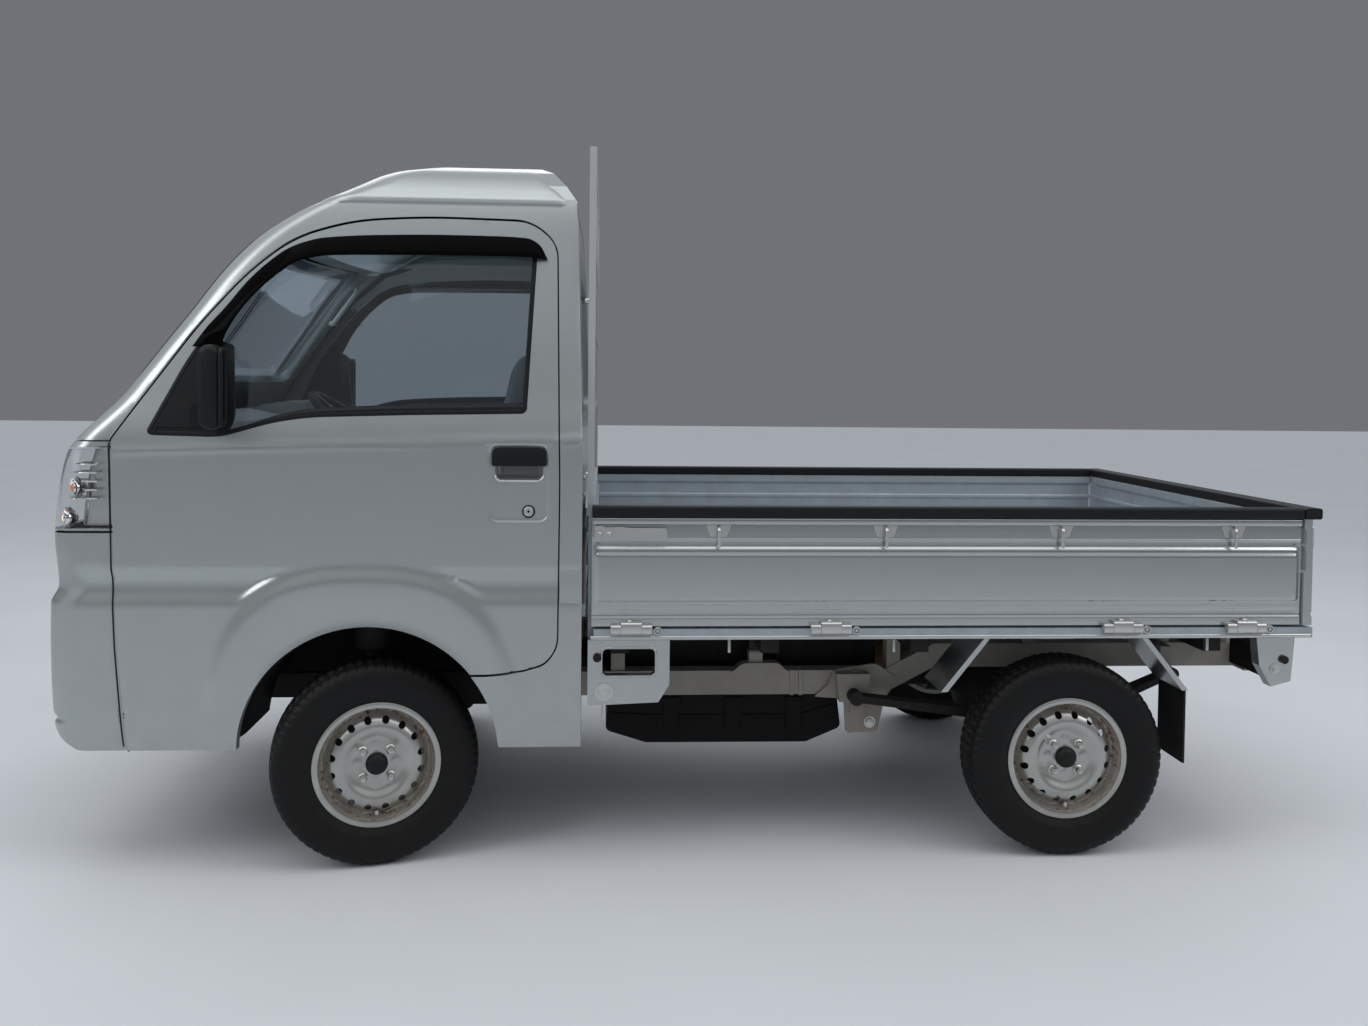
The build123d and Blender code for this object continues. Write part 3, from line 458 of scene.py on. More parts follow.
def addStudio(s):
    material, n, link = newMaterial("floorPaint")
    out = n.new("ShaderNodeOutputMaterial")
    shader = n.new("ShaderNodeBsdfPrincipled")
    shader.inputs["Roughness"].default_value = 0.55
    shader.inputs["Specular IOR Level"].default_value = 0.3
    place = n.new("ShaderNodeTexCoord")
    cloud = n.new("ShaderNodeTexNoise")
    cloud.inputs["Scale"].default_value = 1.3
    ramp = n.new("ShaderNodeMapRange")
    ramp.inputs["To Min"].default_value = 0.95
    ramp.inputs["To Max"].default_value = 1.05
    tint = n.new("ShaderNodeMix")
    tint.data_type = "RGBA"
    tint.blend_type = "MULTIPLY"
    tint.inputs["Factor"].default_value = 1
    tint.inputs["A"].default_value = (*s["floorColor"], 1)
    link.new(place.outputs["Object"], cloud.inputs["Vector"])
    link.new(cloud.outputs["Fac"], ramp.inputs["Value"])
    link.new(ramp.outputs["Result"], tint.inputs["B"])
    link.new(tint.outputs["Result"], shader.inputs["Base Color"])
    link.new(shader.outputs["BSDF"], out.inputs["Surface"])
    mesh = bpy.data.meshes.new("floor")
    mesh.from_pydata([(-30, -30, 0), (30, -30, 0), (30, 30, 0), (-30, 30, 0)], [], [(0, 1, 2, 3)])
    floor = bpy.data.objects.new("floor", mesh)
    bpy.context.scene.collection.objects.link(floor)
    mesh.materials.append(material)

    world = bpy.data.worlds.new("studio")
    bpy.context.scene.world = world
    world.use_nodes = True
    n, link = world.node_tree.nodes, world.node_tree.links
    n.clear()
    out = n.new("ShaderNodeOutputWorld")
    light = n.new("ShaderNodeBackground")
    backdrop = n.new("ShaderNodeBackground")
    mixed = n.new("ShaderNodeMixShader")
    path = n.new("ShaderNodeLightPath")
    place = n.new("ShaderNodeTexCoord")
    split = n.new("ShaderNodeSeparateXYZ")
    ramp = n.new("ShaderNodeValToRGB")
    stops = ramp.color_ramp.elements
    for position, level in s["sky"][1:-1]:
        stops.new(position)
    for stop, (position, level) in zip(stops, s["sky"]):
        stop.position = position
        stop.color = (level * 0.95, level, level * 1.06, 1)
    seen = n.new("ShaderNodeMath")
    seen.operation = "MAXIMUM"
    link.new(path.outputs["Is Camera Ray"], seen.inputs[0])
    link.new(path.outputs["Is Transmission Ray"], seen.inputs[1])
    light.inputs["Strength"].default_value = s["skyStrength"]
    backdrop.inputs["Color"].default_value = (*s["wallColor"], 1)
    link.new(place.outputs["Generated"], split.inputs["Vector"])
    link.new(split.outputs["Z"], ramp.inputs["Fac"])
    link.new(ramp.outputs["Color"], light.inputs["Color"])
    link.new(seen.outputs["Value"], mixed.inputs["Fac"])
    link.new(light.outputs["Background"], mixed.inputs[1])
    link.new(backdrop.outputs["Background"], mixed.inputs[2])
    link.new(mixed.outputs["Shader"], out.inputs["Surface"])

    for k, (place, target, size, power) in enumerate(s["lamps"]):
        data = bpy.data.lights.new("lamp%d" % k, "AREA")
        data.shape = "RECTANGLE"
        data.size, data.size_y = size
        data.energy = power
        lamp = bpy.data.objects.new("lamp%d" % k, data)
        bpy.context.scene.collection.objects.link(lamp)
        back = unit(np.array(place, float) - np.array(target, float))
        side = unit(np.cross([0, 0, 1.0], back))
        up = np.cross(back, side)
        turn = Matrix(((side[0], up[0], back[0]), (side[1], up[1], back[1]), (side[2], up[2], back[2])))
        lamp.matrix_world = Matrix.Translation(place) @ turn.to_4x4()


addStudio(studio)
print("camera and studio ready")


# finishes


def nodeGroup(name, inputs, outputs):
    group = bpy.data.node_groups.new(name, "ShaderNodeTree")
    for label, kind, value in inputs:
        socket = group.interface.new_socket(label, in_out="INPUT", socket_type="NodeSocket" + kind)
        socket.default_value = value
    for label, kind in outputs:
        group.interface.new_socket(label, in_out="OUTPUT", socket_type="NodeSocket" + kind)
    return group, group.nodes.new("NodeGroupInput"), group.nodes.new("NodeGroupOutput")


def agedSurfaceGroup():
    # cloudy tone, fine grain and dust that gathers low down and in patches
    group, given, result = nodeGroup("agedSurface", [("Color", "Color", (0.5, 0.5, 0.5, 1)),
        ("Dust Color", "Color", (0.3, 0.27, 0.22, 1)), ("Dust", "Float", 0.3), ("Dust Height", "Float", 0.6),
        ("Tone", "Float", 0.1), ("Roughness", "Float", 0.4), ("Grain Scale", "Float", 900.0)],
        [("Color", "Color"), ("Roughness", "Float"), ("Height", "Float")])
    n, link = group.nodes, group.links
    place = n.new("ShaderNodeTexCoord")
    cloud = n.new("ShaderNodeTexNoise")
    cloud.inputs["Scale"].default_value = 6
    cloud.inputs["Detail"].default_value = 5
    blotch = n.new("ShaderNodeTexNoise")
    blotch.inputs["Scale"].default_value = 19
    blotch.inputs["Detail"].default_value = 6
    grain = n.new("ShaderNodeTexNoise")
    link.new(given.outputs["Grain Scale"], grain.inputs["Scale"])
    for texture in (cloud, blotch, grain):
        link.new(place.outputs["Object"], texture.inputs["Vector"])

    def sums(operation, a, b, clamp=False):
        node = n.new("ShaderNodeMath")
        node.operation = operation
        node.use_clamp = clamp
        for socket, value in zip(node.inputs, (a, b)):
            if isinstance(value, (int, float)):
                socket.default_value = value
            else:
                link.new(value, socket)
        return node.outputs["Value"]

    split = n.new("ShaderNodeSeparateXYZ")
    link.new(place.outputs["Object"], split.inputs["Vector"])
    low = sums("SUBTRACT", 1.0, sums("DIVIDE", split.outputs["Z"], given.outputs["Dust Height"]), True)
    patchy = sums("MULTIPLY", sums("SUBTRACT", blotch.outputs["Fac"], 0.30), 2.4, True)
    base = sums("ADD", sums("MULTIPLY", low, 1.1), 0.16)
    dust = sums("MULTIPLY", sums("MULTIPLY", patchy, base), given.outputs["Dust"], True)
    swing = sums("MULTIPLY", sums("SUBTRACT", cloud.outputs["Fac"], 0.5), given.outputs["Tone"])
    speck = sums("MULTIPLY", sums("SUBTRACT", grain.outputs["Fac"], 0.5),
        sums("MULTIPLY", given.outputs["Tone"], 0.8))
    level = sums("ADD", 1.0, sums("ADD", swing, speck))
    toned = n.new("ShaderNodeVectorMath")
    toned.operation = "SCALE"
    link.new(given.outputs["Color"], toned.inputs[0])
    link.new(level, toned.inputs["Scale"])
    mixed = n.new("ShaderNodeMix")
    mixed.data_type = "RGBA"
    link.new(dust, mixed.inputs["Factor"])
    link.new(toned.outputs["Vector"], mixed.inputs["A"])
    link.new(given.outputs["Dust Color"], mixed.inputs["B"])
    link.new(mixed.outputs["Result"], result.inputs["Color"])
    rough = sums("ADD", given.outputs["Roughness"], sums("ADD", sums("MULTIPLY", dust, 0.35),
        sums("MULTIPLY", swing, 0.3)), True)
    link.new(rough, result.inputs["Roughness"])
    link.new(sums("ADD", grain.outputs["Fac"], dust), result.inputs["Height"])
    return group


def rustGroup():
    # rust in ragged spots, more of it where the amount is higher
    group, given, result = nodeGroup("rustSpots", [("Color", "Color", (0.5, 0.5, 0.5, 1)),
        ("Amount", "Float", 0.3), ("Scale", "Float", 30.0), ("Roughness", "Float", 0.4)],
        [("Color", "Color"), ("Roughness", "Float"), ("Bare", "Float"), ("Height", "Float")])
    n, link = group.nodes, group.links
    place = n.new("ShaderNodeTexCoord")
    spots = n.new("ShaderNodeTexNoise")
    spots.inputs["Detail"].default_value = 9
    spots.inputs["Roughness"].default_value = 0.68
    tone = n.new("ShaderNodeTexNoise")
    tone.inputs["Scale"].default_value = 160
    tone.inputs["Detail"].default_value = 4
    link.new(place.outputs["Object"], spots.inputs["Vector"])
    link.new(place.outputs["Object"], tone.inputs["Vector"])
    link.new(given.outputs["Scale"], spots.inputs["Scale"])
    edge = n.new("ShaderNodeMath")
    edge.operation = "SUBTRACT"
    edge.inputs[0].default_value = 0.80
    link.new(given.outputs["Amount"], edge.inputs[1])
    mask = n.new("ShaderNodeMapRange")
    mask.interpolation_type = "SMOOTHSTEP"
    link.new(spots.outputs["Fac"], mask.inputs["Value"])
    link.new(edge.outputs["Value"], mask.inputs["From Min"])
    past = n.new("ShaderNodeMath")
    past.inputs[1].default_value = 0.09
    link.new(edge.outputs["Value"], past.inputs[0])
    link.new(past.outputs["Value"], mask.inputs["From Max"])
    rust = n.new("ShaderNodeValToRGB")
    rust.color_ramp.elements[0].position = 0.3
    rust.color_ramp.elements[0].color = (0.055, 0.022, 0.010, 1)
    rust.color_ramp.elements[1].position = 0.7
    rust.color_ramp.elements[1].color = (0.25, 0.105, 0.038, 1)
    link.new(tone.outputs["Fac"], rust.inputs["Fac"])
    mixed = n.new("ShaderNodeMix")
    mixed.data_type = "RGBA"
    link.new(mask.outputs["Result"], mixed.inputs["Factor"])
    link.new(given.outputs["Color"], mixed.inputs["A"])
    link.new(rust.outputs["Color"], mixed.inputs["B"])
    link.new(mixed.outputs["Result"], result.inputs["Color"])
    rough = n.new("ShaderNodeMix")
    link.new(mask.outputs["Result"], rough.inputs["Factor"])
    link.new(given.outputs["Roughness"], rough.inputs["A"])
    rough.inputs["B"].default_value = 0.85
    link.new(rough.outputs["Result"], result.inputs["Roughness"])
    link.new(mask.outputs["Result"], result.inputs["Bare"])
    height = n.new("ShaderNodeMath")
    height.operation = "MULTIPLY"
    link.new(mask.outputs["Result"], height.inputs[0])
    link.new(tone.outputs["Fac"], height.inputs[1])
    link.new(height.outputs["Value"], result.inputs["Height"])
    return group


aged = agedSurfaceGroup()
rusted = rustGroup()


finish = {}


def addFinish(name, color, roughness=0.4, metallic=0.0, coat=0.0, dust=0.25, dustHeight=0.6, tone=0.1,
              grain=900.0, bump=0.05, rust=0.0, rustScale=30.0, dustColor=(0.22, 0.20, 0.17), specular=0.5,
              sheen=0.0):
    # a painted, cast, moulded or woven surface: aged tone and dust, with rust over them where asked
    material, n, link = newMaterial(name)
    out = n.new("ShaderNodeOutputMaterial")
    shader = n.new("ShaderNodeBsdfPrincipled")
    shader.inputs["Metallic"].default_value = metallic
    shader.inputs["Coat Weight"].default_value = coat
    shader.inputs["Coat Roughness"].default_value = 0.08
    shader.inputs["Specular IOR Level"].default_value = specular
    shader.inputs["Sheen Weight"].default_value = sheen
    age = n.new("ShaderNodeGroup")
    age.node_tree = aged
    age.inputs["Color"].default_value = (*color, 1)
    age.inputs["Dust Color"].default_value = (*dustColor, 1)
    for label, value in (("Dust", dust), ("Dust Height", dustHeight), ("Tone", tone),
            ("Roughness", roughness), ("Grain Scale", grain)):
        age.inputs[label].default_value = value
    colorOut, roughOut, heightOut = age.outputs["Color"], age.outputs["Roughness"], age.outputs["Height"]
    if rust:
        spots = n.new("ShaderNodeGroup")
        spots.node_tree = rusted
        spots.inputs["Amount"].default_value = rust
        spots.inputs["Scale"].default_value = rustScale
        link.new(colorOut, spots.inputs["Color"])
        link.new(roughOut, spots.inputs["Roughness"])
        colorOut, roughOut = spots.outputs["Color"], spots.outputs["Roughness"]
        if metallic:
            bare = n.new("ShaderNodeMix")
            bare.inputs["A"].default_value = metallic
            bare.inputs["B"].default_value = 0.0
            link.new(spots.outputs["Bare"], bare.inputs["Factor"])
            link.new(bare.outputs["Result"], shader.inputs["Metallic"])
    link.new(colorOut, shader.inputs["Base Color"])
    link.new(roughOut, shader.inputs["Roughness"])
    if bump:
        relief = n.new("ShaderNodeBump")
        relief.inputs["Strength"].default_value = bump
        relief.inputs["Distance"].default_value = 0.0006
        link.new(heightOut, relief.inputs["Height"])
        link.new(relief.outputs["Normal"], shader.inputs["Normal"])
    link.new(shader.outputs["BSDF"], out.inputs["Surface"])
    finish[name] = material
    return material


def addClear(name, color, roughness=0.02, alpha=1.0, transmission=1.0, ior=1.45):
    # glass and clear plastic, with a plain transmission
    material, n, link = newMaterial(name)
    out = n.new("ShaderNodeOutputMaterial")
    shader = n.new("ShaderNodeBsdfPrincipled")
    shader.inputs["Base Color"].default_value = (*color, 1)
    shader.inputs["Roughness"].default_value = roughness
    shader.inputs["Transmission Weight"].default_value = transmission
    shader.inputs["IOR"].default_value = ior
    shader.inputs["Alpha"].default_value = alpha
    # light passes straight through for shadows and soft bounces
    through = n.new("ShaderNodeBsdfTransparent")
    through.inputs["Color"].default_value = (*color, 1)
    path = n.new("ShaderNodeLightPath")
    either = n.new("ShaderNodeMath")
    either.operation = "MAXIMUM"
    mixed = n.new("ShaderNodeMixShader")
    link.new(path.outputs["Is Shadow Ray"], either.inputs[0])
    link.new(path.outputs["Is Diffuse Ray"], either.inputs[1])
    link.new(either.outputs["Value"], mixed.inputs["Fac"])
    link.new(shader.outputs["BSDF"], mixed.inputs[1])
    link.new(through.outputs["BSDF"], mixed.inputs[2])
    link.new(mixed.outputs["Shader"], out.inputs["Surface"])
    finish[name] = material
    return material


addFinish("body_silver", (0.42, 0.445, 0.44), 0.34, 0.82, coat=0.3, dust=0.16, dustHeight=0.75, tone=0.035,
    grain=2600, bump=0.012)
addFinish("bed_silver", (0.43, 0.45, 0.445), 0.22, 0.90, coat=0.25, dust=0.07, dustHeight=1.0, tone=0.05,
    grain=1800, bump=0.0, rust=0.02, rustScale=45)
# painted reflection: this pale blue-grey stands for the bed's silver paint reflecting the sky on its inner
# faces; the dust and rust in it are real
addFinish("bed_inside", (0.36, 0.415, 0.465), 0.42, 0.25, dust=0.5, dustHeight=1.6, tone=0.14, bump=0.05,
    rust=0.03, rustScale=22)
addFinish("frame_paint", (0.33, 0.305, 0.265), 0.6, 0.1, dust=0.55, dustHeight=0.7, tone=0.16, rust=0.10,
    rustScale=26, bump=0.1)
addFinish("cast_metal", (0.018, 0.017, 0.016), 0.62, 0.2, dust=0.2, dustHeight=0.8, tone=0.25, rust=0.16,
    rustScale=40, bump=0.25, grain=260, specular=0.25, dustColor=(0.06, 0.05, 0.04))
addFinish("rusty_steel", (0.13, 0.085, 0.055), 0.78, 0.25, dust=0.4, tone=0.3, rust=0.36, rustScale=34,
    bump=0.35, grain=300)
addFinish("black_trim", (0.0075, 0.0078, 0.008), 0.45, dust=0.03, dustHeight=0.8, tone=0.12, bump=0.08,
    grain=1500, specular=0.22)
addFinish("smoked_visor", (0.002, 0.002, 0.002), 0.10, dust=0, tone=0.05, bump=0, specular=0.015)
addFinish("rubber", (0.006, 0.006, 0.0062), 0.5, dust=0.04, dustHeight=0.9, tone=0.15, bump=0.1,
    specular=0.25)
addFinish("tyre", (0.0055, 0.0055, 0.0056), 0.5, dust=0.10, dustHeight=0.55, tone=0.2, bump=0.15, grain=500,
    dustColor=(0.035, 0.031, 0.026), specular=0.2)
addFinish("wheel_silver", (0.45, 0.45, 0.43), 0.30, 0.92, coat=0.15, dust=0.22, dustHeight=0.6, tone=0.10,
    rust=0.10, rustScale=38, bump=0.05, dustColor=(0.16, 0.13, 0.10))
addClear("glass", (0.80, 0.88, 0.93))
addClear("lamp_lens", (0.98, 0.99, 0.99), 0.03, ior=1.25)
addFinish("red_lens", (0.34, 0.008, 0.008), 0.14, coat=0.8, dust=0.15, tone=0.05, bump=0)
addFinish("interior_grey", (0.16, 0.155, 0.15), 0.6, dust=0.1, dustHeight=0.9, tone=0.08, bump=0.3,
    grain=1100)
addFinish("seat_fabric", (0.085, 0.088, 0.095), 0.85, dust=0.12, tone=0.2, bump=0.5, grain=1500, sheen=0.3)
addFinish("tank_black", (0.006, 0.006, 0.006), 0.6, dust=0.12, dustHeight=0.75, tone=0.2, bump=0.2,
    grain=700, specular=0.15, dustColor=(0.03, 0.027, 0.023))
addFinish("headliner", (0.60, 0.57, 0.52), 0.85, dust=0.05, tone=0.06, bump=0.3, grain=1400)
addFinish("amber", (0.75, 0.19, 0.02), 0.2, coat=0.6, dust=0, tone=0.05, bump=0)
addFinish("pillarGrey", (0.23, 0.235, 0.22), 0.6, dust=0.05, tone=0.06, bump=0.2, grain=1400)
addFinish("screenBlack", (0.012, 0.014, 0.014), 0.12, coat=0.3, dust=0.02, tone=0.05, bump=0, specular=0.4)
addFinish("mirrorFace", (0.30, 0.31, 0.32), 0.05, 1.0, dust=0.02, tone=0.02, bump=0)
addFinish("chrome", (0.82, 0.82, 0.80), 0.12, 1.0, dust=0.02, tone=0.02, bump=0)
addFinish("lampShell", (0.55, 0.56, 0.55), 0.22, 0.8, dust=0.02, tone=0.03, bump=0)
addFinish("zinc", (0.56, 0.56, 0.54), 0.30, 0.92, dust=0.14, tone=0.12, rust=0.05, rustScale=90, bump=0.02)
addFinish("tubeSilver", (0.50, 0.515, 0.52), 0.38, 0.45, coat=0.25, dust=0.12, dustHeight=1.2, tone=0.08,
    bump=0.03, rust=0.03, rustScale=50)
addFinish("bulb", (0.9, 0.82, 0.6), 0.1, coat=0.5, dust=0, tone=0.02, bump=0)


def paintedShadeBlack(material, fromX, aboveZ, backTo):
    # painted shade: the paint turns black ahead of a place, and above a height between two places, where the
    # wheel arch and the space over the rail lie in shade
    n, link = material.node_tree.nodes, material.node_tree.links
    shader = next(node for node in n if node.type == "BSDF_PRINCIPLED")
    was = shader.inputs["Base Color"].links[0].from_socket
    place = n.new("ShaderNodeTexCoord")
    split = n.new("ShaderNodeSeparateXYZ")
    link.new(place.outputs["Object"], split.inputs["Vector"])

    def above(socket, level):
        mask = n.new("ShaderNodeMapRange")
        mask.inputs["From Min"].default_value = level
        mask.inputs["From Max"].default_value = level + 0.01
        link.new(socket, mask.inputs["Value"])
        return mask.outputs["Result"]

    def joined(operation, a, b):
        node = n.new("ShaderNodeMath")
        node.operation = operation
        link.new(a, node.inputs[0])
        link.new(b, node.inputs[1])
        return node.outputs["Value"]

    high = joined("MULTIPLY", above(split.outputs["Z"], aboveZ), above(split.outputs["X"], backTo))
    mask = joined("MAXIMUM", above(split.outputs["X"], fromX), high)
    mixed = n.new("ShaderNodeMix")
    mixed.data_type = "RGBA"
    mixed.inputs["B"].default_value = (0.004, 0.004, 0.004, 1)
    link.new(mask, mixed.inputs["Factor"])
    link.new(was, mixed.inputs["A"])
    link.new(mixed.outputs["Result"], shader.inputs["Base Color"])


def glowing(material, color, strength):
    # a lit bulb
    shader = next(node for node in material.node_tree.nodes if node.type == "BSDF_PRINCIPLED")
    shader.inputs["Emission Color"].default_value = (*color, 1)
    shader.inputs["Emission Strength"].default_value = strength
    return material


glowing(addFinish("litBulb", (0.9, 0.75, 0.5), 0.15, dust=0, tone=0.02, bump=0), (1.0, 0.74, 0.46), 0.9)
# painted shade: the frame is black ahead of x = 0.32 m, round the front wheel's arch, and above 0.492 m
# forward of x = -0.42 m, over the rail
paintedShadeBlack(finish["frame_paint"], 0.32, 0.492, -0.42)
print("finishes ready")

for name, node in nodes.items():
    for used in node.material_slots:
        label = used.material.name.split(".")[0] if used.material else ""
        if label in finish:
            used.material = finish[label]
for name, label in (("guard_frame", "tubeSilver"), ("tail_lamps", "tank_black")):
    for used in nodes[name].material_slots:
        used.material = finish[label]


# cab body

cab = dict(
    # height, rear x, nose x, half width, corner radius, bow of the front
    levels=[
        (318, 0, noseX - 48, halfWidth - 21, 56, 12), (345, 0, noseX - 20, halfWidth - 15, 54, 12),
        (392, 0, noseX - 5, halfWidth - 10, 52, 12), (572, 0, noseX, halfWidth - 4, 50, 12),
        (702, 0, noseX - 3, halfWidth - 1, 50, 12), (750, 0, noseX - 24, halfWidth, 50, 12),
        (885, 0, noseX - 12, halfWidth, 50, 14), (1000, 0, noseX - 18, halfWidth, 52, 18),
        (1097, 0, noseX - 34, halfWidth, 58, 24), (1124, 1, noseX - 50, halfWidth - 2, 62, 28),
        (1250, 4, noseX - 138, halfWidth - 22, 62, 60), (1435, 10, noseX - 268, halfWidth - 51, 66, 64),
        (1638, 16, noseX - 420, halfWidth - 87, 72, 66), (1737, 21, noseX - 555, halfWidth - 107, 80, 62),
        (1775, 26, noseX - 628, halfWidth - 119, 90, 60), (1815, 52, noseX - 700, halfWidth - 150, 105, 55),
        (1858, 88, noseX - 775, halfWidth - 205, 115, 50), (1882, 126, noseX - 860, halfWidth - 285, 100, 40),
    ],
    flareHeight=8, grooveDepth=9, creaseHeight=1.6,
)
levels = np.array(cab["levels"], float)


def monotone(x, xs, ys):
    # smooth curve through the table without overshoot: cubic pieces with limited slopes
    h = np.diff(xs)
    d = np.diff(ys) / h
    m = np.zeros_like(ys)
    same = d[:-1] * d[1:] > 0
    w1, w2 = 2 * h[1:] + h[:-1], h[1:] + 2 * h[:-1]
    with np.errstate(divide="ignore", invalid="ignore"):
        mean = (w1 + w2) / (w1 / d[:-1] + w2 / d[1:])
    m[1:-1] = np.where(same, mean, 0)
    m[0], m[-1] = d[0], d[-1]
    k = np.clip(np.searchsorted(xs, x) - 1, 0, len(xs) - 2)
    t = np.clip((x - xs[k]) / h[k], 0, 1)
    return ((2 * t**3 - 3 * t**2 + 1) * ys[k] + (t**3 - 2 * t**2 + t) * h[k] * m[k] + (-2 * t**3 + 3 * t**2)
        * ys[k + 1] + (t**3 - t**2) * h[k] * m[k + 1])


def planAt(z, inset=0.0):
    # rear x, nose x, half width, corner radius and bow at a height, drawn in by an inset
    z = np.asarray(z, float)
    rear, nose, half, corner, bow = (monotone(z, levels[:, 0], levels[:, k]) for k in range(1, 6))
    return truck["cabRearX"] + rear + inset, nose - 1.2 * inset, half - inset, np.maximum(corner - inset,
        12), bow


def reliefAt(x, z):
    # how far the flank stands out: groove and step along the sill, raised flare over the arch, belt crease
    groove = -cab["grooveDepth"] * smoothstep((797 - z) / 34) * smoothstep((z - 692) / 58)
    u, v = np.abs(x - 885) / 418, np.maximum(z - 305, 0) / 497
    q = (u**2.6 + v**2.6) ** (1 / 2.6)
    flare = cab["flareHeight"] * smoothstep((1.01 - q) / 0.10) - 3.0 * smoothstep((0.88 - q) / 0.2)
    ring = smoothstep((1.035 - q) / 0.03) * smoothstep((z - 400) / 120)
    creaseZ = 1094 + 0.036 * np.clip(1500 - x, 0, 1200)
    half = planAt(z)[2]
    crease = (cab["creaseHeight"] * np.exp(-(((z - creaseZ) / 9) ** 2)) + (halfWidth - half)
        * smoothstep((creaseZ + 4 - z) / 10) * smoothstep((z - 1000) / 60))
    lip = 2.0 * smoothstep((truck["archRadius"] + 20 - np.hypot(x - truck["archX"], z - truck["archZ"])) / 16)
    return groove * (1 - ring) + flare * ring + crease + lip


def flankPoint(x, z, inset=0.0):
    # a point of the left flank from its x and height; forward of the shoulder it follows the corner round
    _, nose, half, corner, bow = planAt(z, inset)
    start = nose - bow - corner
    over = np.clip(x - start, 0, corner * 0.999)
    y = half - corner + np.sqrt(corner**2 - over**2)
    fade = smoothstep(1 - over / 40)
    return np.stack([x, y + reliefAt(x, z) * fade, z + 0 * x], -1)


def noseReliefAt(z):
    # the bumper's lower groove and its lip
    return -9.0 * np.exp(-(((z - 404) / 9) ** 2))


def frontPoint(s, z, inset=0.0):
    # a point of the front half contour: s runs across the bowed front, round the corner, back along the flank
    _, nose, half, corner, bow = planAt(z, inset)
    flat = half - corner
    t = np.clip(s / flat, 0, 1)
    x = nose - bow * t**2
    y = np.minimum(s, flat)
    turnLength = corner * pi / 2
    a = np.clip((s - flat) / turnLength, 0, 1) * pi / 2
    x = np.where(s > flat, nose - bow - corner * (1 - np.cos(a)), x)
    y = np.where(s > flat, flat + corner * np.sin(a), y)
    back = np.maximum(s - flat - turnLength, 0)
    x = x - back
    onFlank = smoothstep(back / 40)
    y = y + reliefAt(x, z) * onFlank
    x = x + noseReliefAt(z) * (1 - onFlank)
    return np.stack([x, y, z + 0 * s], -1)


def sAtX(x, z, inset=0.0):
    # where the contour parameter is for an x on the flank
    _, nose, half, corner, bow = planAt(z, inset)
    flat = half - corner
    gone = nose - bow - corner - np.asarray(x, float)
    a = np.arccos(np.clip(1 - (nose - bow - np.asarray(x, float)) / corner, -1, 1))
    return flat + np.where(gone >= 0, corner * pi / 2 + gone, corner * a)


def sAtY(y, z, inset=0.0):
    # where the contour parameter is for a y on the front
    _, nose, half, corner, bow = planAt(z, inset)
    flat = half - corner
    y = np.asarray(y, float)
    a = np.arcsin(np.clip((y - flat) / corner, 0, 1))
    return np.where(y <= flat, y, flat + corner * a)


door = dict(
    gap=6.0, wall=21, liningZ=1540,
    corners=[(1520, 1128), (1439, 1246), (1312, 1427), (1195, 1566), (1079, 1661), (924, 1709), (729, 1722),
             (458, 1716), (384, 1655), (371, 1023), (374, 588), (405, 540), (468, 520), (560, 511),
             (700, 511), (700, 312), (1488, 312), (1510, 588), (1516, 800)],
    rounding=[2, 40, 60, 80, 90, 90, 90, 70, 70, 60, 40, 30, 24, 20, 0, 0, 2, 60, 60],
)
archRing = np.stack([truck["archX"] + (truck["archRadius"] + door["gap"])
    * np.cos(np.linspace(0, 2 * pi, 181)[:-1]), truck["archZ"] + (truck["archRadius"] + door["gap"])
    * np.sin(np.linspace(0, 2 * pi, 181)[:-1])], -1)
doorRing = drawnIn(softOutline(door["corners"], door["rounding"], 9), door["gap"])


windowOpening = dict(
    points=[(1426, 1142), (1325, 1346), (1205, 1507), (1084, 1615), (977, 1644), (696, 1657), (478, 1654),
            (447, 1615), (468, 1204), (769, 1198), (1023, 1190), (1114, 1176), (1243, 1138)],
    rounding=[14, 60, 60, 70, 70, 60, 30, 12, 12, 60, 70, 60, 30],
)
windowRing = softOutline(windowOpening["points"], windowOpening["rounding"], 9)
handlePocket = dict(x=(404, 560), z=(916, 1120), radius=24, cupX=(414, 549), cupZ=(1022, 1110), cupDepth=20)


def pocketDepth(x, z):
    # the shallow handle recess and the deeper finger cup under the handle
    def dish(xs, zs, radius, depth, slope):
        cx, cz = (xs[0] + xs[1]) / 2, (zs[0] + zs[1]) / 2
        dx = np.maximum(np.abs(x - cx) - ((xs[1] - xs[0]) / 2 - radius), 0)
        dz = np.maximum(np.abs(z - cz) - ((zs[1] - zs[0]) / 2 - radius), 0)
        return depth * smoothstep((radius - np.hypot(dx, dz)) / slope)
    h = handlePocket
    return (dish(h["x"], h["z"], h["radius"], 3.4, 6.0) + dish(h["cupX"], h["cupZ"], 22, h["cupDepth"], 20.0))


def doorPoint(x, z):
    p = flankPoint(x, z)
    p[:, 1] -= pocketDepth(x, z)
    return p


h = handlePocket
doorSkin = panel(doorRing, [windowRing, archRing], doorPoint, lambda x,
    z: flankPoint(x, z, door["wall"] + 8), 14.0, [((h["x"][0] - 8, h["x"][1] + 8),
    (h["z"][0] - 8, h["z"][1] + 8), 4.0), ((380, 1500), (400, 830), 9.0), ((400, 1500), (1080, 1105), 6.0)])


def nearRing(p, ring, near=1.2):
    # true where a point lies on the outline, seen along y
    a, b = ring, np.roll(ring, -1, 0)
    flat = p[:, [0, 2]]
    found = np.zeros(len(p), bool)
    for start in range(0, len(p), 4000):
        q = flat[start:start + 4000, None]
        along = np.clip(((q - a) * (b - a)).sum(-1) / ((b - a) ** 2).sum(-1), 0, 1)
        found[start:start + 4000] = np.linalg.norm(q - a - (b - a) * along[..., None], axis=-1).min(1) < near
    return found


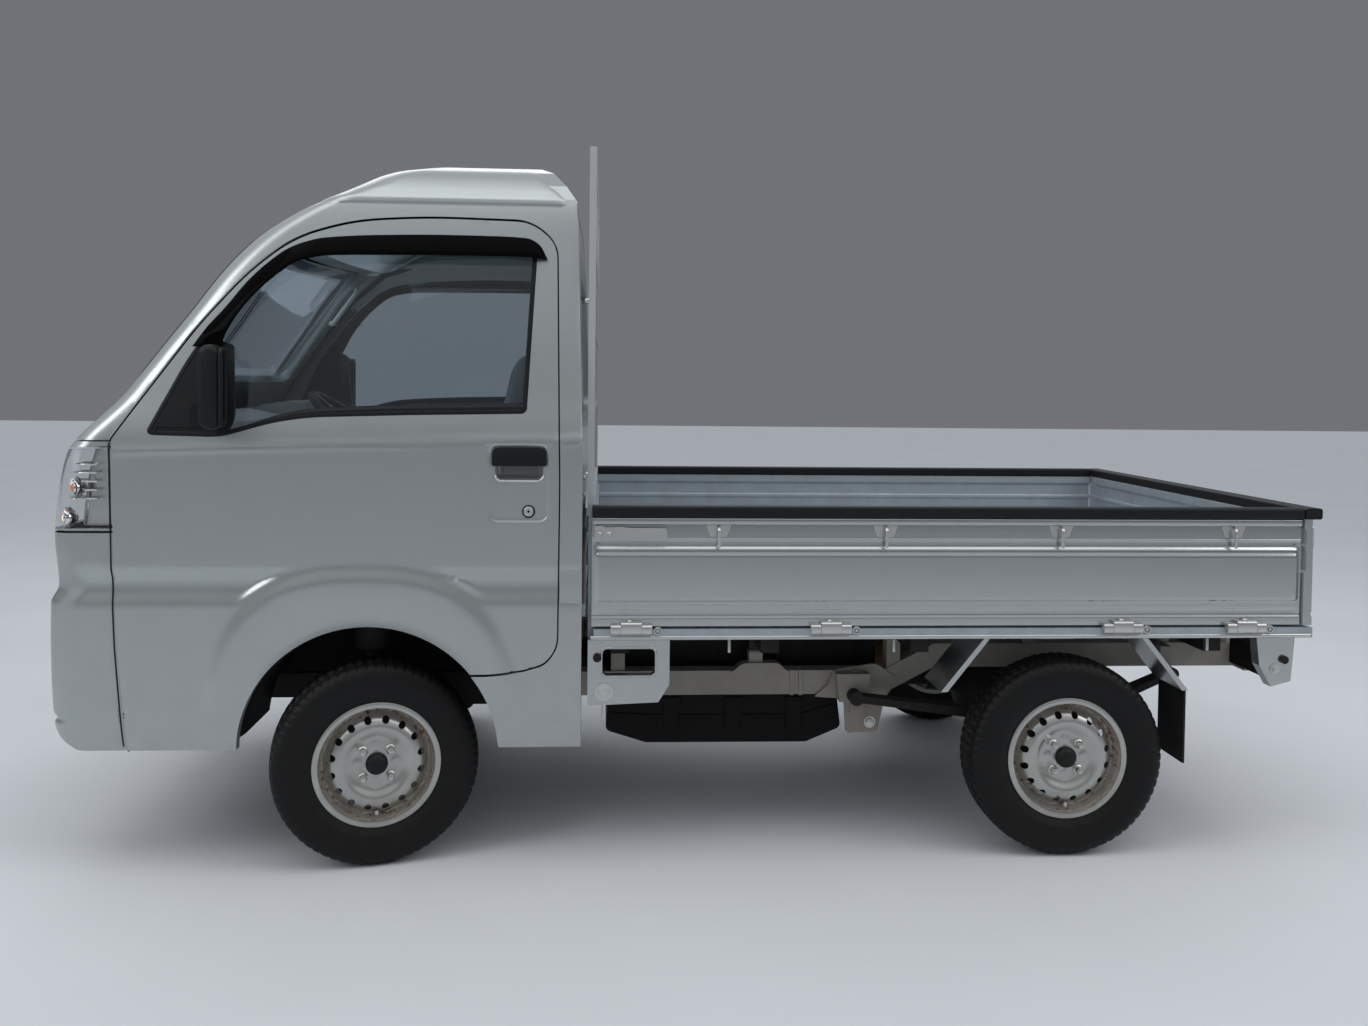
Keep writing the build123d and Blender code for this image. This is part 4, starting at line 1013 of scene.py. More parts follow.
def doorZone(p):
    # 0 outside, 1 the cut edge round the outline, painted black as the shade in the door gap but not at the
    # arch, 2 trim and 3 lining on the inner face
    archGap = np.hypot(p[:, 0] - truck["archX"], p[:, 2] - truck["archZ"]) <= truck["archRadius"] + 12
    innerFace = np.abs(p[:, 1]) < flankPoint(p[:, 0], p[:, 2], door["wall"])[:, 1]
    trim = np.where(p[:, 2] > door["liningZ"], 3, 2)
    return np.where(nearRing(p, doorRing) & ~archGap, 1, np.where(innerFace, trim, 0))


for name, side in bothSides:
    skin = piece("doorSkin_" + name, onSide(doorSkin, side), "body_silver", "door_" + name, sharp=38)
    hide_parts("door_" + name)
    # the cut edge round the door is painted black as the shade in its gap, and its inner side is grey
    zonePiece(skin, doorZone, ["rubber", "interior_grey", "headliner"])
print("doors ready")


# nose: front panel, bumper and headlamps, worked out in the contour's own parameter and height

nose = dict(
    sideX=[(250, 1488), (588, 1510), (800, 1516), (1124, 1520)], lampZ=(900, 1116), lampInnerY=400, wall=18,
    gap=3.0,
)


def sideEdgeS(z, gap=0.0):
    # the contour parameter of the line where the nose meets the door
    table = np.array(nose["sideX"], float)
    return sAtX(np.interp(z, table[:, 0], table[:, 1]) + gap, z)


def fullRing(chain):
    # a chain of (s, z) from the middle line out and back to it, closed by its mirror image
    chain = np.asarray(chain, float)
    return np.vstack([chain[1:-1], (chain[1:-1] * [-1, 1])[::-1]])


def noseRing(lowZ, highZ, gap=0.0, samples=40):
    # outline in (s, z) of a band right across the nose between two heights
    z = np.linspace(lowZ, highZ, samples)
    out = np.stack([sideEdgeS(z, gap), z], -1)
    bottom = np.stack([np.linspace(-8, out[0, 0], 64)[:-1], np.full(63, lowZ)], -1)
    top = np.stack([np.linspace(out[-1, 0], -8, 64)[1:], np.full(63, highZ)], -1)
    return fullRing(np.vstack([bottom, out, top]))


def noseSurface(inset=0.0):
    # the nose right across, set back along its own normal
    def surface(s, z):
        p = frontPoint(np.abs(s), z, inset)
        p[:, 1] *= np.sign(s) + (s == 0)
        return p
    return surface


def lampRing(grow=0.0):
    # the headlamp's outline in (s, z): upright inner edge, sloping top, its outer edge along the door
    z = np.linspace(nose["lampZ"][0] - grow, nose["lampZ"][1] - 10 + grow, 14)
    out = np.stack([sideEdgeS(z, 4 - grow), z], -1)
    inY = nose["lampInnerY"]
    corners = [(inY + 58 - grow, nose["lampZ"][1] - 30 + grow), (inY - grow, nose["lampZ"][1] - 74 + grow),
        (inY + 10 - grow, nose["lampZ"][0] + 14 - grow), (inY + 40, nose["lampZ"][0] - grow)]
    rest = softOutline([tuple(out[-1]), *corners, tuple(out[0])], [8, 24, 24, 20, 12, 8], 9)
    start = int(np.argmin(np.linalg.norm(rest - out[-1], axis=1)))
    rest = np.roll(rest, -start, 0)
    last = int(np.argmin(np.linalg.norm(rest - out[0], axis=1)))
    return np.vstack([out, rest[1:last]])


def otherSide(ring):
    return (ring * [-1, 1])[::-1]


forward = (1, 0, 0)


def noseCut(p):
    # true on the edges cut at the door gap and at the line between bumper and panel; these are painted black
    # as the shade in the gaps
    table = np.array(nose["sideX"], float)
    return ((np.abs(p[:, 0] - np.interp(p[:, 2], table[:, 0], table[:, 1]) - nose["gap"]) < 1.2)
        | (np.abs(np.abs(p[:, 2] - truck["bumperTopZ"]) - 3) < 0.3))


frontSkin = piece("frontPanelSkin", panel(noseRing(truck["bumperTopZ"] + 3, truck["cowlZ"] - 4, nose["gap"]),
    [lampRing(3), otherSide(lampRing(3))], noseSurface(), noseSurface(nose["wall"]), 18.0, toward=forward),
    "body_silver", sharp=40)
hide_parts("front_panel")
# painted shade: the panel's cut edges at the gaps take the black rubber finish
zonePiece(frontSkin, noseCut, ["rubber"])
lowIntake = roundRect((-400, 400), (425, 545), 34)
fogRing = roundRect((470, 600), (440, 540), 40)
bumper = piece("bumperSkin", panel(noseRing(319, truck["bumperTopZ"] - 3, nose["gap"]),
    [lowIntake, fogRing, otherSide(fogRing)], noseSurface(), noseSurface(nose["wall"]), 16.0,
    [((-900, 900), (380, 430), 5.0), ((-900, 900), (680, 760), 8.0)], toward=forward), "body_silver",
    sharp=40)
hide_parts("front_bumper")
# painted shade: the bumper's cut edges at the gaps take the black rubber finish
zonePiece(bumper, noseCut, ["rubber"])


def behindFront(inset):
    # the same contour set back along its own normal
    def surface(s, z):
        return frontPoint(s, z, inset)
    return surface


acrossY = np.linspace(-395, 395, 48)
slats = [sweep(noseSurface(26)(acrossY, np.full(48, zc)), roundRect((-9, 9), (-4, 4), 3, 3))
    for zc in (447, 471, 495, 519)]
grilleBack = panel(roundRect((-404, 404), (421, 549), 30), [], noseSurface(44), noseSurface(50), 30.0,
    toward=forward)
piece("bumperGrille", joinShapes(slats + [grilleBack]), "black_trim", sharp=30)
fogCover = panel(roundRect((466, 604), (436, 544), 42), [], noseSurface(14), noseSurface(20), 12.0,
    toward=forward)
piece("fogCovers", bothOf(fogCover), "black_trim", sharp=40)


def lampSpot(back, z, inset):
    # a place behind the lens, so far round the contour from the door, and the way out from it
    s, z = sideEdgeS(np.array([z])) - back, np.array([float(z)])
    place = frontPoint(s, z, inset)[0]
    return place, unit(frontPoint(s, z, inset - 10)[0] - place)


outward = (1, 0.6, 0)
lensHalf = panel(lampRing(-0.5), [], behindFront(1.0), behindFront(4.0), 12.0, toward=outward)
reflectorHalf = panel(lampRing(0.5), [], behindFront(52), behindFront(56), 14.0, toward=outward)
for name, side in bothSides:
    lens = piece("lampLens_" + name, onSide(lensHalf, side), "lamp_lens", sharp=60)
    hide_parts("headlamp_" + name)
    shell = piece("lampShell_" + name, onSide(reflectorHalf, side), "lampShell", slot="lamp_lens", sharp=60)
    lampAxis = np.array([1.0, 0.12, 0.0])
    bowl = lathe([(-42, 0), (-42, 14), (-36, 34), (-20, 56), (0, 70), (3, 73), (0, 74), (-24, 62), (-46, 20),
        (-48, 0)], (1606, 532, 1010), lampAxis, 40)
    bulbBody = lathe([(-40, 0), (-40, 7), (-8, 7), (-2, 5), (0, 0)], (1606, 532, 1010), lampAxis, 20)
    shapes, ambers, lits = [bowl], [], []
    # turn lamp and lit position lamp behind the lens: back from the door, height, set back, radius
    for kept, (back, z, inset, radius) in ((ambers, (140, 1000, 26, 13)), (lits, (160, 922, 22, 12))):
        spot, axis = lampSpot(back, z, inset)
        shapes.append(lathe([(-20, 0), (-20, 9), (-12, 20), (-2, 27), (0, 29), (-4, 29), (-24, 10),
            (-24, 0)], spot, axis, 28))
        kept.append(lathe([(-12, 0), (-10, radius * 0.7), (-1, radius), (9, radius * 0.8), (14, 0)], spot,
            axis, 20))
    for z in np.arange(972, 1064, 22.0):
        s = sideEdgeS(np.array([z]))[0] - np.linspace(100, 220, 26)
        shapes.append(sweep(frontPoint(s, np.full(26, z), 34), roundRect((-12, 12), (-2, 2), 1.5, 3)))
    piece("lampBowls_" + name, onSide(joinShapes(shapes), side), "chrome", slot="lamp_lens", sharp=50)
    piece("lampAmber_" + name, onSide(joinShapes(ambers), side), "amber", slot="lamp_lens", sharp=50)
    piece("lampBulbs_" + name, onSide(bulbBody, side), "bulb", slot="lamp_lens", sharp=50)
    piece("lampLit_" + name, onSide(joinShapes(lits), side), "litBulb", slot="lamp_lens", sharp=50)
print("nose ready")


# roof, pillars and cab back, laid over the shell

roof = dict(gutterZ=1752.0, topZ=1882.0, domeRise=5.0, rows=22, cover=1.2)


def contourPoint(t, z, out=0.0):
    # a half contour at a height: t runs from 0 at the nose's middle to 3 at the rear's middle
    rear, noseHere, half, corner, bow = planAt(z, -out)
    rearCorner = np.maximum(20.0 + 0 * corner, 0.6 * corner * smoothstep((z - 1640) / 150))
    flat = half - corner
    sFront = np.clip(t, 0, 1) * (flat + corner * pi / 2)
    p = frontPoint(sFront, z, -out)
    x0 = noseHere - bow - corner
    along = np.clip(t - 1, 0, 1)
    flank = np.stack([x0 + (rear + rearCorner - x0) * along, half + 0 * along, z + 0 * t], -1)
    q = np.clip(t - 2, 0, 1)
    a = np.clip(q / 0.4, 0, 1) * pi / 2
    back = np.stack([rear + rearCorner * (1 - np.sin(a)), half - rearCorner * (1 - np.cos(a))
        - np.clip((q - 0.4) / 0.6, 0, 1) * (half - rearCorner), z + 0 * t], -1)
    return np.where((t <= 1)[..., None], p, np.where((t <= 2)[..., None], flank, back))


t = np.concatenate([np.linspace(0, 1, 34)[:-1], np.linspace(1, 2, 30)[:-1], np.linspace(2, 3, 26)])
rise = np.linspace(0, 1, roof["rows"])
heights = roof["gutterZ"] + (roof["topZ"] - roof["gutterZ"]) * (1 - (1 - rise) ** 1.4)
tt, zz = np.meshgrid(t, heights)
lip = 5.0 * np.exp(-(((zz - 1772) / 7) ** 2))
rows = contourPoint(tt, zz, roof["cover"])
centre = np.array([700.0, 0, 0])
away = rows - centre
away[..., 2] = 0
rows = rows + unit(away) * lip[..., None]
top = rows[-1]
middle = top.copy()
middle[:, 1] = 0
middle[:, 0] = np.clip(middle[:, 0], top[:, 0].min(), top[:, 0].max())
caps = []
for k in np.linspace(0, 1, 14)[1:]:
    row = top * (1 - k) + middle * k
    row[:, 2] = roof["topZ"] + roof["domeRise"] * (1 - (1 - k) ** 2)
    caps.append(row)
rows = np.concatenate([rows, np.array(caps)])
ribs = 3.0 * np.exp(-(((np.abs(rows[..., 1]) - 300) / 14) ** 2)) * smoothstep((rows[..., 2] - 1868) / 12)
rows[..., 2] -= ribs
roofHalf = (rows.reshape(-1, 3), gridFaces(len(rows), len(t)))
piece("roofSkin", facing(bothOf(roofHalf), (0, 0, 1)), "body_silver", wall=1.0, sharp=50, weld=True)


def frontAt(y, z, out=0.0):
    # a point of the front given by its y, for the windscreen and what frames it
    return frontPoint(sAtY(y, z, -out), z, -out)


def screenRing(grow):
    ring = drawnIn(softOutline([(-700, 1272), (632, 1272), (570, 1668), (-700, 1668)], [0, 50, 50, 0], 9),
        -grow)
    return np.stack([sAtY(np.clip(ring[:, 0], 0, None), ring[:, 1]) + np.minimum(ring[:, 0], 0) * 0.02,
        ring[:, 1]], -1)


shellGap = drawnIn(softOutline(door["corners"], door["rounding"], 9), 0.0)
doorRingS = np.stack([sAtX(shellGap[:, 0], shellGap[:, 1]), shellGap[:, 1]], -1)
rearEdgeX = 318.0
zs = np.linspace(roof["gutterZ"] + 4, 319, 90)
sRear = sAtX(monotone(zs, levels[:, 0], levels[:, 1]) + rearEdgeX, zs)
shellRing = np.vstack([np.stack([np.linspace(0, sRear[0], 160)[:-1], np.full(159, zs[0])], -1),
    np.stack([sRear, zs], -1), np.stack([np.linspace(sRear[-1], sAtX(530, 319), 24)[1:], np.full(23, 319.0)],
    -1), np.stack([sAtX(np.array([531.0, 560, 600, 640]), np.array([330, 430, 500, 511.0])),
    np.array([330, 430, 500, 511.0])], -1),])
noseEdge = np.linspace(520, truck["cowlZ"], 30)
shellRing = np.vstack([shellRing, np.stack([sAtX(np.full(30, 1519.0), noseEdge), noseEdge], -1)[-1:],
    np.stack([np.linspace(sAtX(1519.0, truck["cowlZ"]), 0, 60)[1:], np.full(59, truck["cowlZ"])], -1)])
archRingS = np.stack([sAtX(archRing[:, 0], archRing[:, 1]), archRing[:, 1]], -1)
shellHalf = panel(shellRing, [doorRingS, screenRing(0), archRingS], behindFront(-roof["cover"]),
    behindFront(1.0), 14.0, toward=(0.3, 1, 0.2))
piece("cabSkin", bothOf(shellHalf), "body_silver", sharp=35)
fritRing, fritHole = screenRing(36), screenRing(-24)
frit = panel(np.vstack([fritRing]), [fritHole], behindFront(-3.0), behindFront(0.5), 12.0,
    toward=(0.7, 0.3, 0.6))
piece("screenBorder", bothOf(frit), "screenBlack", slot="black_trim", sharp=50)
print("shell ready")


# wheels

wheel = dict(
    steer=14.0, kingpinY=545.0, scrub=107.5, rearY=652.5, axleZ=271.0,
    # half section of the tyre from the middle of its tread to its bead and back inside: (out, radius)
    tyreHalf=[(0, 270.6), (24, 270.2), (44, 268.6), (55, 264.5), (63, 257), (68.5, 246), (71.5, 232),
              (72.3, 218), (70.5, 200), (66, 184), (60, 172), (56.5, 164), (52, 158), (46, 157), (47, 163),
              (55, 178), (60, 200), (60, 222), (54, 243), (40, 253), (0, 256)],
    pitches=66, grooveDepth=6.5, turns=528,
    # the pressed disc: radius and how far out it stands
    disc=[(0, 45), (30, 45), (62, 43), (74, 46), (86, 52.5), (97, 54.5), (107, 52), (121, 44), (130, 30),
          (137, 21), (143, 23), (149, 37)],
    ventCircle=117.0, ventRadius=9.5, vents=16, studCircle=50.0, capRadius=29.0,
    barrel=[(36, 149), (57, 149.5), (60, 151), (61.5, 157), (61.2, 163), (60, 165.6), (57.6, 166),
            (56.4, 163), (56.4, 158), (54, 153.6), (36, 152.4), (10, 146), (-30, 146), (-50, 152.4),
            (-56, 155), (-57, 165.5), (-61, 166), (-61, 152), (-48, 148.6), (-30, 142), (10, 142),
            (30, 148)],
)


def smoothCurve(points, count):
    # a curve through points by monotone pieces over the length run, sampled evenly
    points = np.asarray(points, float)
    run = np.concatenate([[0], np.cumsum(np.linalg.norm(np.diff(points, axis=0), axis=1))])
    t = np.linspace(0, run[-1], count)
    return np.stack([monotone(t, run, points[:, 0]), monotone(t, run, points[:, 1])], -1)


def wheelPlace(front, side):
    # the wheel's centre, its axis outwards, and the level direction across it
    if front:
        a = radians(wheel["steer"])
        out = np.array([-sin(a) * side, cos(a) * side, 0.0])
        centre = np.array([truck["frontAxleX"], side * wheel["kingpinY"],
            wheel["axleZ"]]) + out * wheel["scrub"]
    else:
        out = np.array([0.0, side, 0.0])
        centre = np.array([truck["rearAxleX"], side * wheel["rearY"], wheel["axleZ"]])
    return centre, out, np.cross(out, [0, 0, 1.0])


def tyreShape(centre, out):
    # the section turned round the axle, its tread cut by a zigzag rib pattern and notched shoulders
    half = smoothCurve(wheel["tyreHalf"], 60)
    section = np.vstack([half[::-1] * [-1, 1], half[1:-1]])
    a, r = section[:, 0], section[:, 1]
    count = wheel["turns"]
    turn = np.linspace(0, 2 * pi, count, endpoint=False)
    A, T = np.meshgrid(a, turn, indexing="ij")
    R = np.repeat(r[:, None], count, 1)
    phase = (T / (2 * pi) * wheel["pitches"]) % 1.0
    wave = 2.2 * np.sin(2 * pi * phase)
    outer = R > 257.5
    groove = np.zeros_like(R)
    for place, width in ((0, 2.6), (19, 3.4), (37, 3.2)):
        for sign in (-1, 1):
            groove = np.maximum(groove, smoothstep((width + 1.6 - np.abs(A - sign * place - wave)) / 2.2))
    crossCut = smoothstep((0.16 - np.abs(phase - 0.5)) / 0.08)
    shoulder = smoothstep((np.abs(A) - 39) / 3) * smoothstep((R - 250) / 5)
    sipe = 0.45 * smoothstep((0.07 - np.abs((phase + 0.25) % 1.0 - 0.5)) / 0.05) * (np.abs(A) < 37)
    depth = np.maximum(np.maximum(groove * outer, 0.42 * crossCut * shoulder),
        sipe * outer) * wheel["grooveDepth"]
    rings = (0.9 * np.exp(-(((R - 236) / 1.8) ** 2)) + 0.8 * np.exp(-(((R - 188) / 1.6) ** 2)) + 0.7
        * np.exp(-(((R - 176) / 1.4) ** 2))) * (np.abs(A) > 62)
    slope = unit(np.stack([np.gradient(a), np.gradient(r)], -1))
    normal = np.stack([-slope[:, 1], slope[:, 0]], -1)
    A2 = A + normal[:, 0, None] * (rings - depth)
    R2 = R + normal[:, 1, None] * (rings - depth)
    across = np.cross(out, [0, 0, 1.0])
    ring = np.cos(T)[..., None] * across + np.sin(T)[..., None] * np.array([0, 0, 1.0])
    points = centre + A2[..., None] * out + R2[..., None] * ring
    return facingOut(points.reshape(-1, 3), gridFaces(len(a), count, True, True), centre)


def wheelSpot(centre, out, across):
    # turns (out, across, up) of a wheel into places
    def spot(p):
        p = np.asarray(p, float)
        return centre + p[..., :1] * out + p[..., 1:2] * across + p[..., 2:] * np.array([0, 0, 1.0])
    return spot


def discShape(spot):
    radii, depths = np.array(wheel["disc"], float).T
    turn = np.linspace(0, 2 * pi, 121)[:-1]
    edge = np.stack([148.6 * np.cos(turn), 148.6 * np.sin(turn)], -1)
    small = np.linspace(0, 2 * pi, 19)[:-1]
    holes = []
    for k in range(wheel["vents"]):
        a = 2 * pi * (k + 0.5) / wheel["vents"]
        middle = wheel["ventCircle"] * np.array([cos(a), sin(a)])
        holes.append(middle + wheel["ventRadius"] * np.stack([np.cos(small), np.sin(small)], -1))

    def surface(drop):
        def place(u, v):
            radius = np.hypot(u, v)
            depth = monotone(radius, radii, depths)
            angle = np.arctan2(v, u)
            pads = 2.2 * smoothstep((17 - np.hypot(radius - 50, 50 * (((angle / (pi / 2)) - 0.5) % 1 - 0.5)
                * pi / 2)) / 5)
            return spot(np.stack([depth + pads - drop, u, v], -1))
        return place
    return panel(edge, holes, surface(0.0), surface(3.4), 8.0, [((-152, 152), (-152, 152), 6.0)],
        toward=spot([1.0, 0, 0]) - spot([0.0, 0, 0]))


addFinish("wheel_rust", (0.42, 0.40, 0.36), 0.5, 0.55, dust=0.5, dustHeight=0.8, tone=0.25, rust=0.27,
    rustScale=55, bump=0.2)


for front, end in ((True, "front"), (False, "rear")):
    for name, side in bothSides:
        tag = end + "_" + name
        body = "wheel_" + tag
        centre, out, across = wheelPlace(front, side)
        spot = wheelSpot(centre, out, across)
        tyre = piece("tyreTread_" + tag, tyreShape(centre, out), "tyre", body, sharp=48)
        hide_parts("tyre_" + tag)
        barrel = turned(wheel["barrel"], centre, out, 96, closedProfile=True)
        disc = discShape(spot)
        rim = piece("wheelDisc_" + tag, [barrel, disc], "wheel_silver", body, sharp=30)

        def inStep(p, centre=centre, out=out):
            along = (p - centre) @ out
            radius = np.linalg.norm(p - centre - along[:, None] * out, axis=1)
            return (radius > 127) & (radius < 151.5) & (along < 58)
        zonePiece(rim, inStep, ["wheel_rust"])
        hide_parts("rim_" + tag)
        nuts = []
        for k in range(4):
            a = pi / 2 * (k + 0.5)
            place = spot([46.0, wheel["studCircle"] * cos(a), wheel["studCircle"] * sin(a)])
            nuts.append(turned([(-4, 0), (-4, 12.5), (1, 13), (3, 10.5)], place, out, 20))
            nuts.append(turned([(2, 0), (2, 9.8), (14, 9.8), (17, 8), (18, 0)], place, out, 6))
            nuts.append(turned([(17, 0), (17, 5.5), (21, 5), (22, 0)], place, out, 12))
        valveSpot = spot([24.0, 0, -137.0])
        nuts.append(turned([(-4, 0), (-4, 5), (14, 4), (15, 5.5), (27, 5.5), (28, 0)], valveSpot,
            unit(out + 0.25 * np.array([0, 0, 1.0])), 14))
        piece("wheelNuts_" + tag, nuts, "zinc", body, "wheel_silver", sharp=30)
        cap = turned([(38, 0), (38, wheel["capRadius"] - 1), (50, wheel["capRadius"]),
            (58, wheel["capRadius"] - 3), (63, 20), (66, 10), (67, 0)], centre, out, 40)
        piece("hubCap_" + tag, cap, "black_trim", body, sharp=50)
        drum = turned([(-40, 0), (-40, 118), (22, 118), (26, 112), (28, 0)], centre, out, 48)
        piece("brakeDrum_" + tag, drum, "cast_metal", body, sharp=40)
print("wheels ready")


# bed: gates, rails, fittings, deck

gate = dict(
    frontX=290.0, rearX=-1645.0, tailOut=-1683.0,
    # closed section as (distance in from the outside, height)
    section=[(6.5, 641), (6.5, 662), (10, 669), (10, 682), (7, 688), (7, 704), (0, 713), (0, 829), (4, 838),
             (5, 846), (10.5, 854), (10.5, 868), (8.5, 872), (10.5, 876), (10.5, 931), (32, 931), (32, 905),
             (26, 897), (26, 860), (29, 856), (29, 846), (26, 842), (26, 790), (32, 782), (32, 641)],
    rounding=[1, 2, 3, 3, 3, 3, 4, 5, 3, 3, 3, 1.5, 1.5, 1.5, 2, 2, 3, 3, 2, 2, 2, 2, 3, 3, 2],
    hingeX=(185, -346, -1143, -1488), hookX=(-44, -492, -972, -1453), hingeY=(-480, 0, 480),
    boltBack=70,
)


def gateShape(start, end, axis, outside):
    # the section run from start to end; its pressed face sinks to the flat border at both ends
    ring = softOutline(gate["section"], gate["rounding"], 60)
    edge = np.array([0, 3, 6, 10, 14, 18, 24])
    sign = 1 if end > start else -1
    place = np.concatenate([start + sign * edge, np.linspace(start + sign * 60, end - sign * 60, 9),
        end - sign * edge[::-1]])
    near = np.minimum(np.abs(place - start), np.abs(place - end))
    fade = smoothstep((near - 4) / 16)[:, None]
    pressed = (ring[:, 0] < 10.5) & (ring[:, 1] > 674) & (ring[:, 1] < 866)
    depth = np.where(pressed[None], ring[None, :, 0] * fade + 8.0 * (1 - fade), ring[None, :, 0])
    along = np.repeat(place[:, None], len(ring), 1)
    height = np.repeat(ring[None, :, 1], len(place), 0)
    if axis == "x":
        points = np.stack([along, outside - depth, height], -1)
    else:
        points = np.stack([outside + depth, along, height], -1)
    rows, columns = points.shape[:2]
    faces = gridFaces(rows, columns, closeColumns=True)
    faces += [list(range(columns))[::-1], list(range((rows - 1) * columns, rows * columns))]
    return facingOut(points.reshape(-1, 3), faces, points.reshape(-1, 3).mean(0))


def hingeShells(x, part):
    # the pressed covers round a hinge: a short fixed one and a longer moving one
    out = halfWidth - 4
    if part == "fixed":
        spans = ((x + 28, x + 54), (x - 54, x - 28))
    else:
        spans = ((x - 27, x + 27),)
    shapes = []
    for a, b in spans:
        ring = roundRect((out - 6, out + 17.5), (621, 655) if part == "moving" else (621, 648), 8)
        shapes.append(prismSolid(ring, a, b, "x"))
    if part == "moving":
        shapes.append(turned([(-3, 0), (-3, 7), (3, 7), (5, 5), (5, 0)], (x + 5, out + 8, 655), (0, 0, 1),
            16))
    return shapes


def hookShapes(x, out):
    plate = softOutline([(x - 34, 911), (x + 34, 911), (x + 22, 878), (x - 22, 878)], 5, 12)
    shapes = [prismSolid(plate, out - 0.5, out + 2.5, "y")]
    route = bendPath([(x, out, 906), (x, out + 19, 902), (x, out + 17, 852)], 16)
    shapes.append(sweptSolid(route, circle(4.6, 12)))
    return shapes


band = halfWidth - 10.5
for name, side in bothSides:
    body = "side_gate_" + name
    skin = piece("gateSkin_" + name, onSide(gateShape(gate["frontX"], gate["rearX"], "x", halfWidth), side),
        "bed_silver", body, sharp=28)
    # painted reflection: the gate's inner faces take the blue-grey copy of its silver paint
    zonePiece(skin, lambda p: (np.abs(p[:, 1]) < halfWidth - 22) & (p[:, 2] > 640), ["bed_inside"])
    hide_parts("side_gate_" + name)
    bead = np.array([(gate["frontX"] - 3, band + 3, 921), (-600, band + 3, 921),
        (gate["rearX"] + 3, band + 3, 921)])
    piece("gateBead_" + name, onSide(sweptSolid(bead, roundRect((-7, 7), (-11, 11), 7)), side), "bed_silver",
        body, sharp=40)
    shapes = []
    for x in gate["hookX"]:
        shapes += hookShapes(x, band)
    lever = softOutline([(92, 903), (196, 903), (210, 906), (232, 906), (232, 870), (210, 870), (196, 868),
        (92, 868)], [12, 3, 3, 4, 4, 3, 3, 12], 12)
    shapes.append(prismSolid(lever, band + 8, band + 13, "y"))
    for x0, x1, z0, z1, y1 in ((226, 262, 872, 904, 12), (258, 284, 866, 908, 8), (236, 250, 878, 898, 15)):
        shapes.append(prismSolid(roundRect((x0, x1), (z0, z1), 5), band - 0.5, band + y1, "y"))
    for x in (246, 270):
        shapes.append(turned([(0, 0), (0, 6), (15, 6), (17, 4), (17, 0)], (x, band, 887), (0, 1, 0), 14))
    fittings = piece("gateFittings_" + name, [onSide(s, side) for s in shapes], "zinc", body, "bed_silver",
        bevel=0.8, bevelSteps=1, sharp=30)
    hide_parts("side_gate_fittings_" + name)
    moving, fixed = [], []
    for x in gate["hingeX"]:
        moving += [onSide(s, side) for s in hingeShells(x, "moving")]
        fixed += [onSide(s, side) for s in hingeShells(x, "fixed")]
        spot = (x - gate["boltBack"], halfWidth - 5, 630)
        fixed.append(onSide(turned([(-2, 0), (-2, 11), (6, 11), (6, 8), (2, 7), (2, 4), (7, 4), (7, 0)],
            spot, (0, 1, 0), 20), side))
    piece("hingeCovers_" + name, moving, "zinc", body, "bed_silver", sharp=40)
    for x in (-76, -520, -1388):
        spot = (x, halfWidth - 12, 592)
        fixed.append(onSide(turned([(-22, 0), (-22, 4.5), (12, 4.5), (13, 4), (13, 0)], spot, (0, 0, 1), 12),
            side))
    railLip = np.array([(gate["frontX"] + 2, halfWidth - 6, 611), (-700, halfWidth - 6, 611),
        (tailX + 22, halfWidth - 6, 611)])
    fixed.append(onSide(sweptSolid(railLip, roundRect((-5, 5), (-6, 6), 5)), side))
    piece("floorRailTrim_" + name, fixed, "zinc", "chassis", "bed_silver", sharp=40)

tailSkin = piece("tailgateSkin", gateShape(halfWidth - 1, -halfWidth + 1, "y", gate["tailOut"]),
    "bed_silver", "tailgate", sharp=28)
# painted reflection: the tailgate's inner face takes the blue-grey copy of its silver paint
zonePiece(tailSkin, lambda p: p[:, 0] > gate["tailOut"] + 22, ["bed_inside"])
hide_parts("tailgate")
tailShapes = []
for y in gate["hingeY"]:
    ring = roundRect((tailX + 1, tailX + 24), (621, 655), 8)
    tailShapes.append(prismSolid(ring, y - 27, y + 27, "y"))
for side in (1, -1):
    handle = [(tailX + 18, side * 700, 895), (tailX + 4, side * 700, 893), (tailX + 4, side * 700, 850)]
    route = bendPath(handle, 8)
    tailShapes.append(sweptSolid(route, circle(5, 12)))
    cornerBox = roundRect((side * 655, side * 722), (868, 912), 8)
    tailShapes.append(prismSolid(cornerBox, tailX + 13, tailX + 24, "x"))
piece("tailgateFittings", tailShapes, "zinc", "tailgate", "bed_silver", sharp=35)


deck = dict(x=(279, -1640), y=(-692, 692), low=649.0, high=651.0, ribHeight=3.2, ribPitch=92, fade=40)


def deckSheet():
    # the bed floor: long shallow ribs under the load, fading out at its front and rear ends
    X, Y = np.meshgrid(np.linspace(*deck["x"], 60), np.linspace(*deck["y"], 231), indexing="ij")
    endFade = smoothstep(np.minimum(deck["x"][0] - 4 - X, X - deck["x"][1] - 4) / deck["fade"])
    wave = np.abs(((Y + 1000) / deck["ribPitch"]) % 1 - 0.5)
    rib = deck["ribHeight"] * smoothstep((wave - 0.24) / 0.09) * endFade
    top = np.stack([X, Y, deck["high"] + rib], -1)
    low = np.stack([X, Y, deck["low"] + 0 * rib], -1)
    return facingOut(*sheet(top, low))


# painted reflection: the deck takes the blue-grey copy of the bed's silver paint
piece("deckSheet", deckSheet(), "bed_inside", "chassis", sharp=30)


# headboard face and its pressed ribs, seen from the bed side and from the cab side
def boardPress(x0, sign):
    def surface(y, z):
        ribs = sum(smoothstep((np.abs(z - m) < 16) * (18 - np.abs(z - m)) / 8) for m in (717, 807, 890))
        ribs = ribs * smoothstep((640 - np.abs(y)) / 20)
        return np.stack([x0 + sign * 6.0 * ribs, y, z], -1)
    return surface


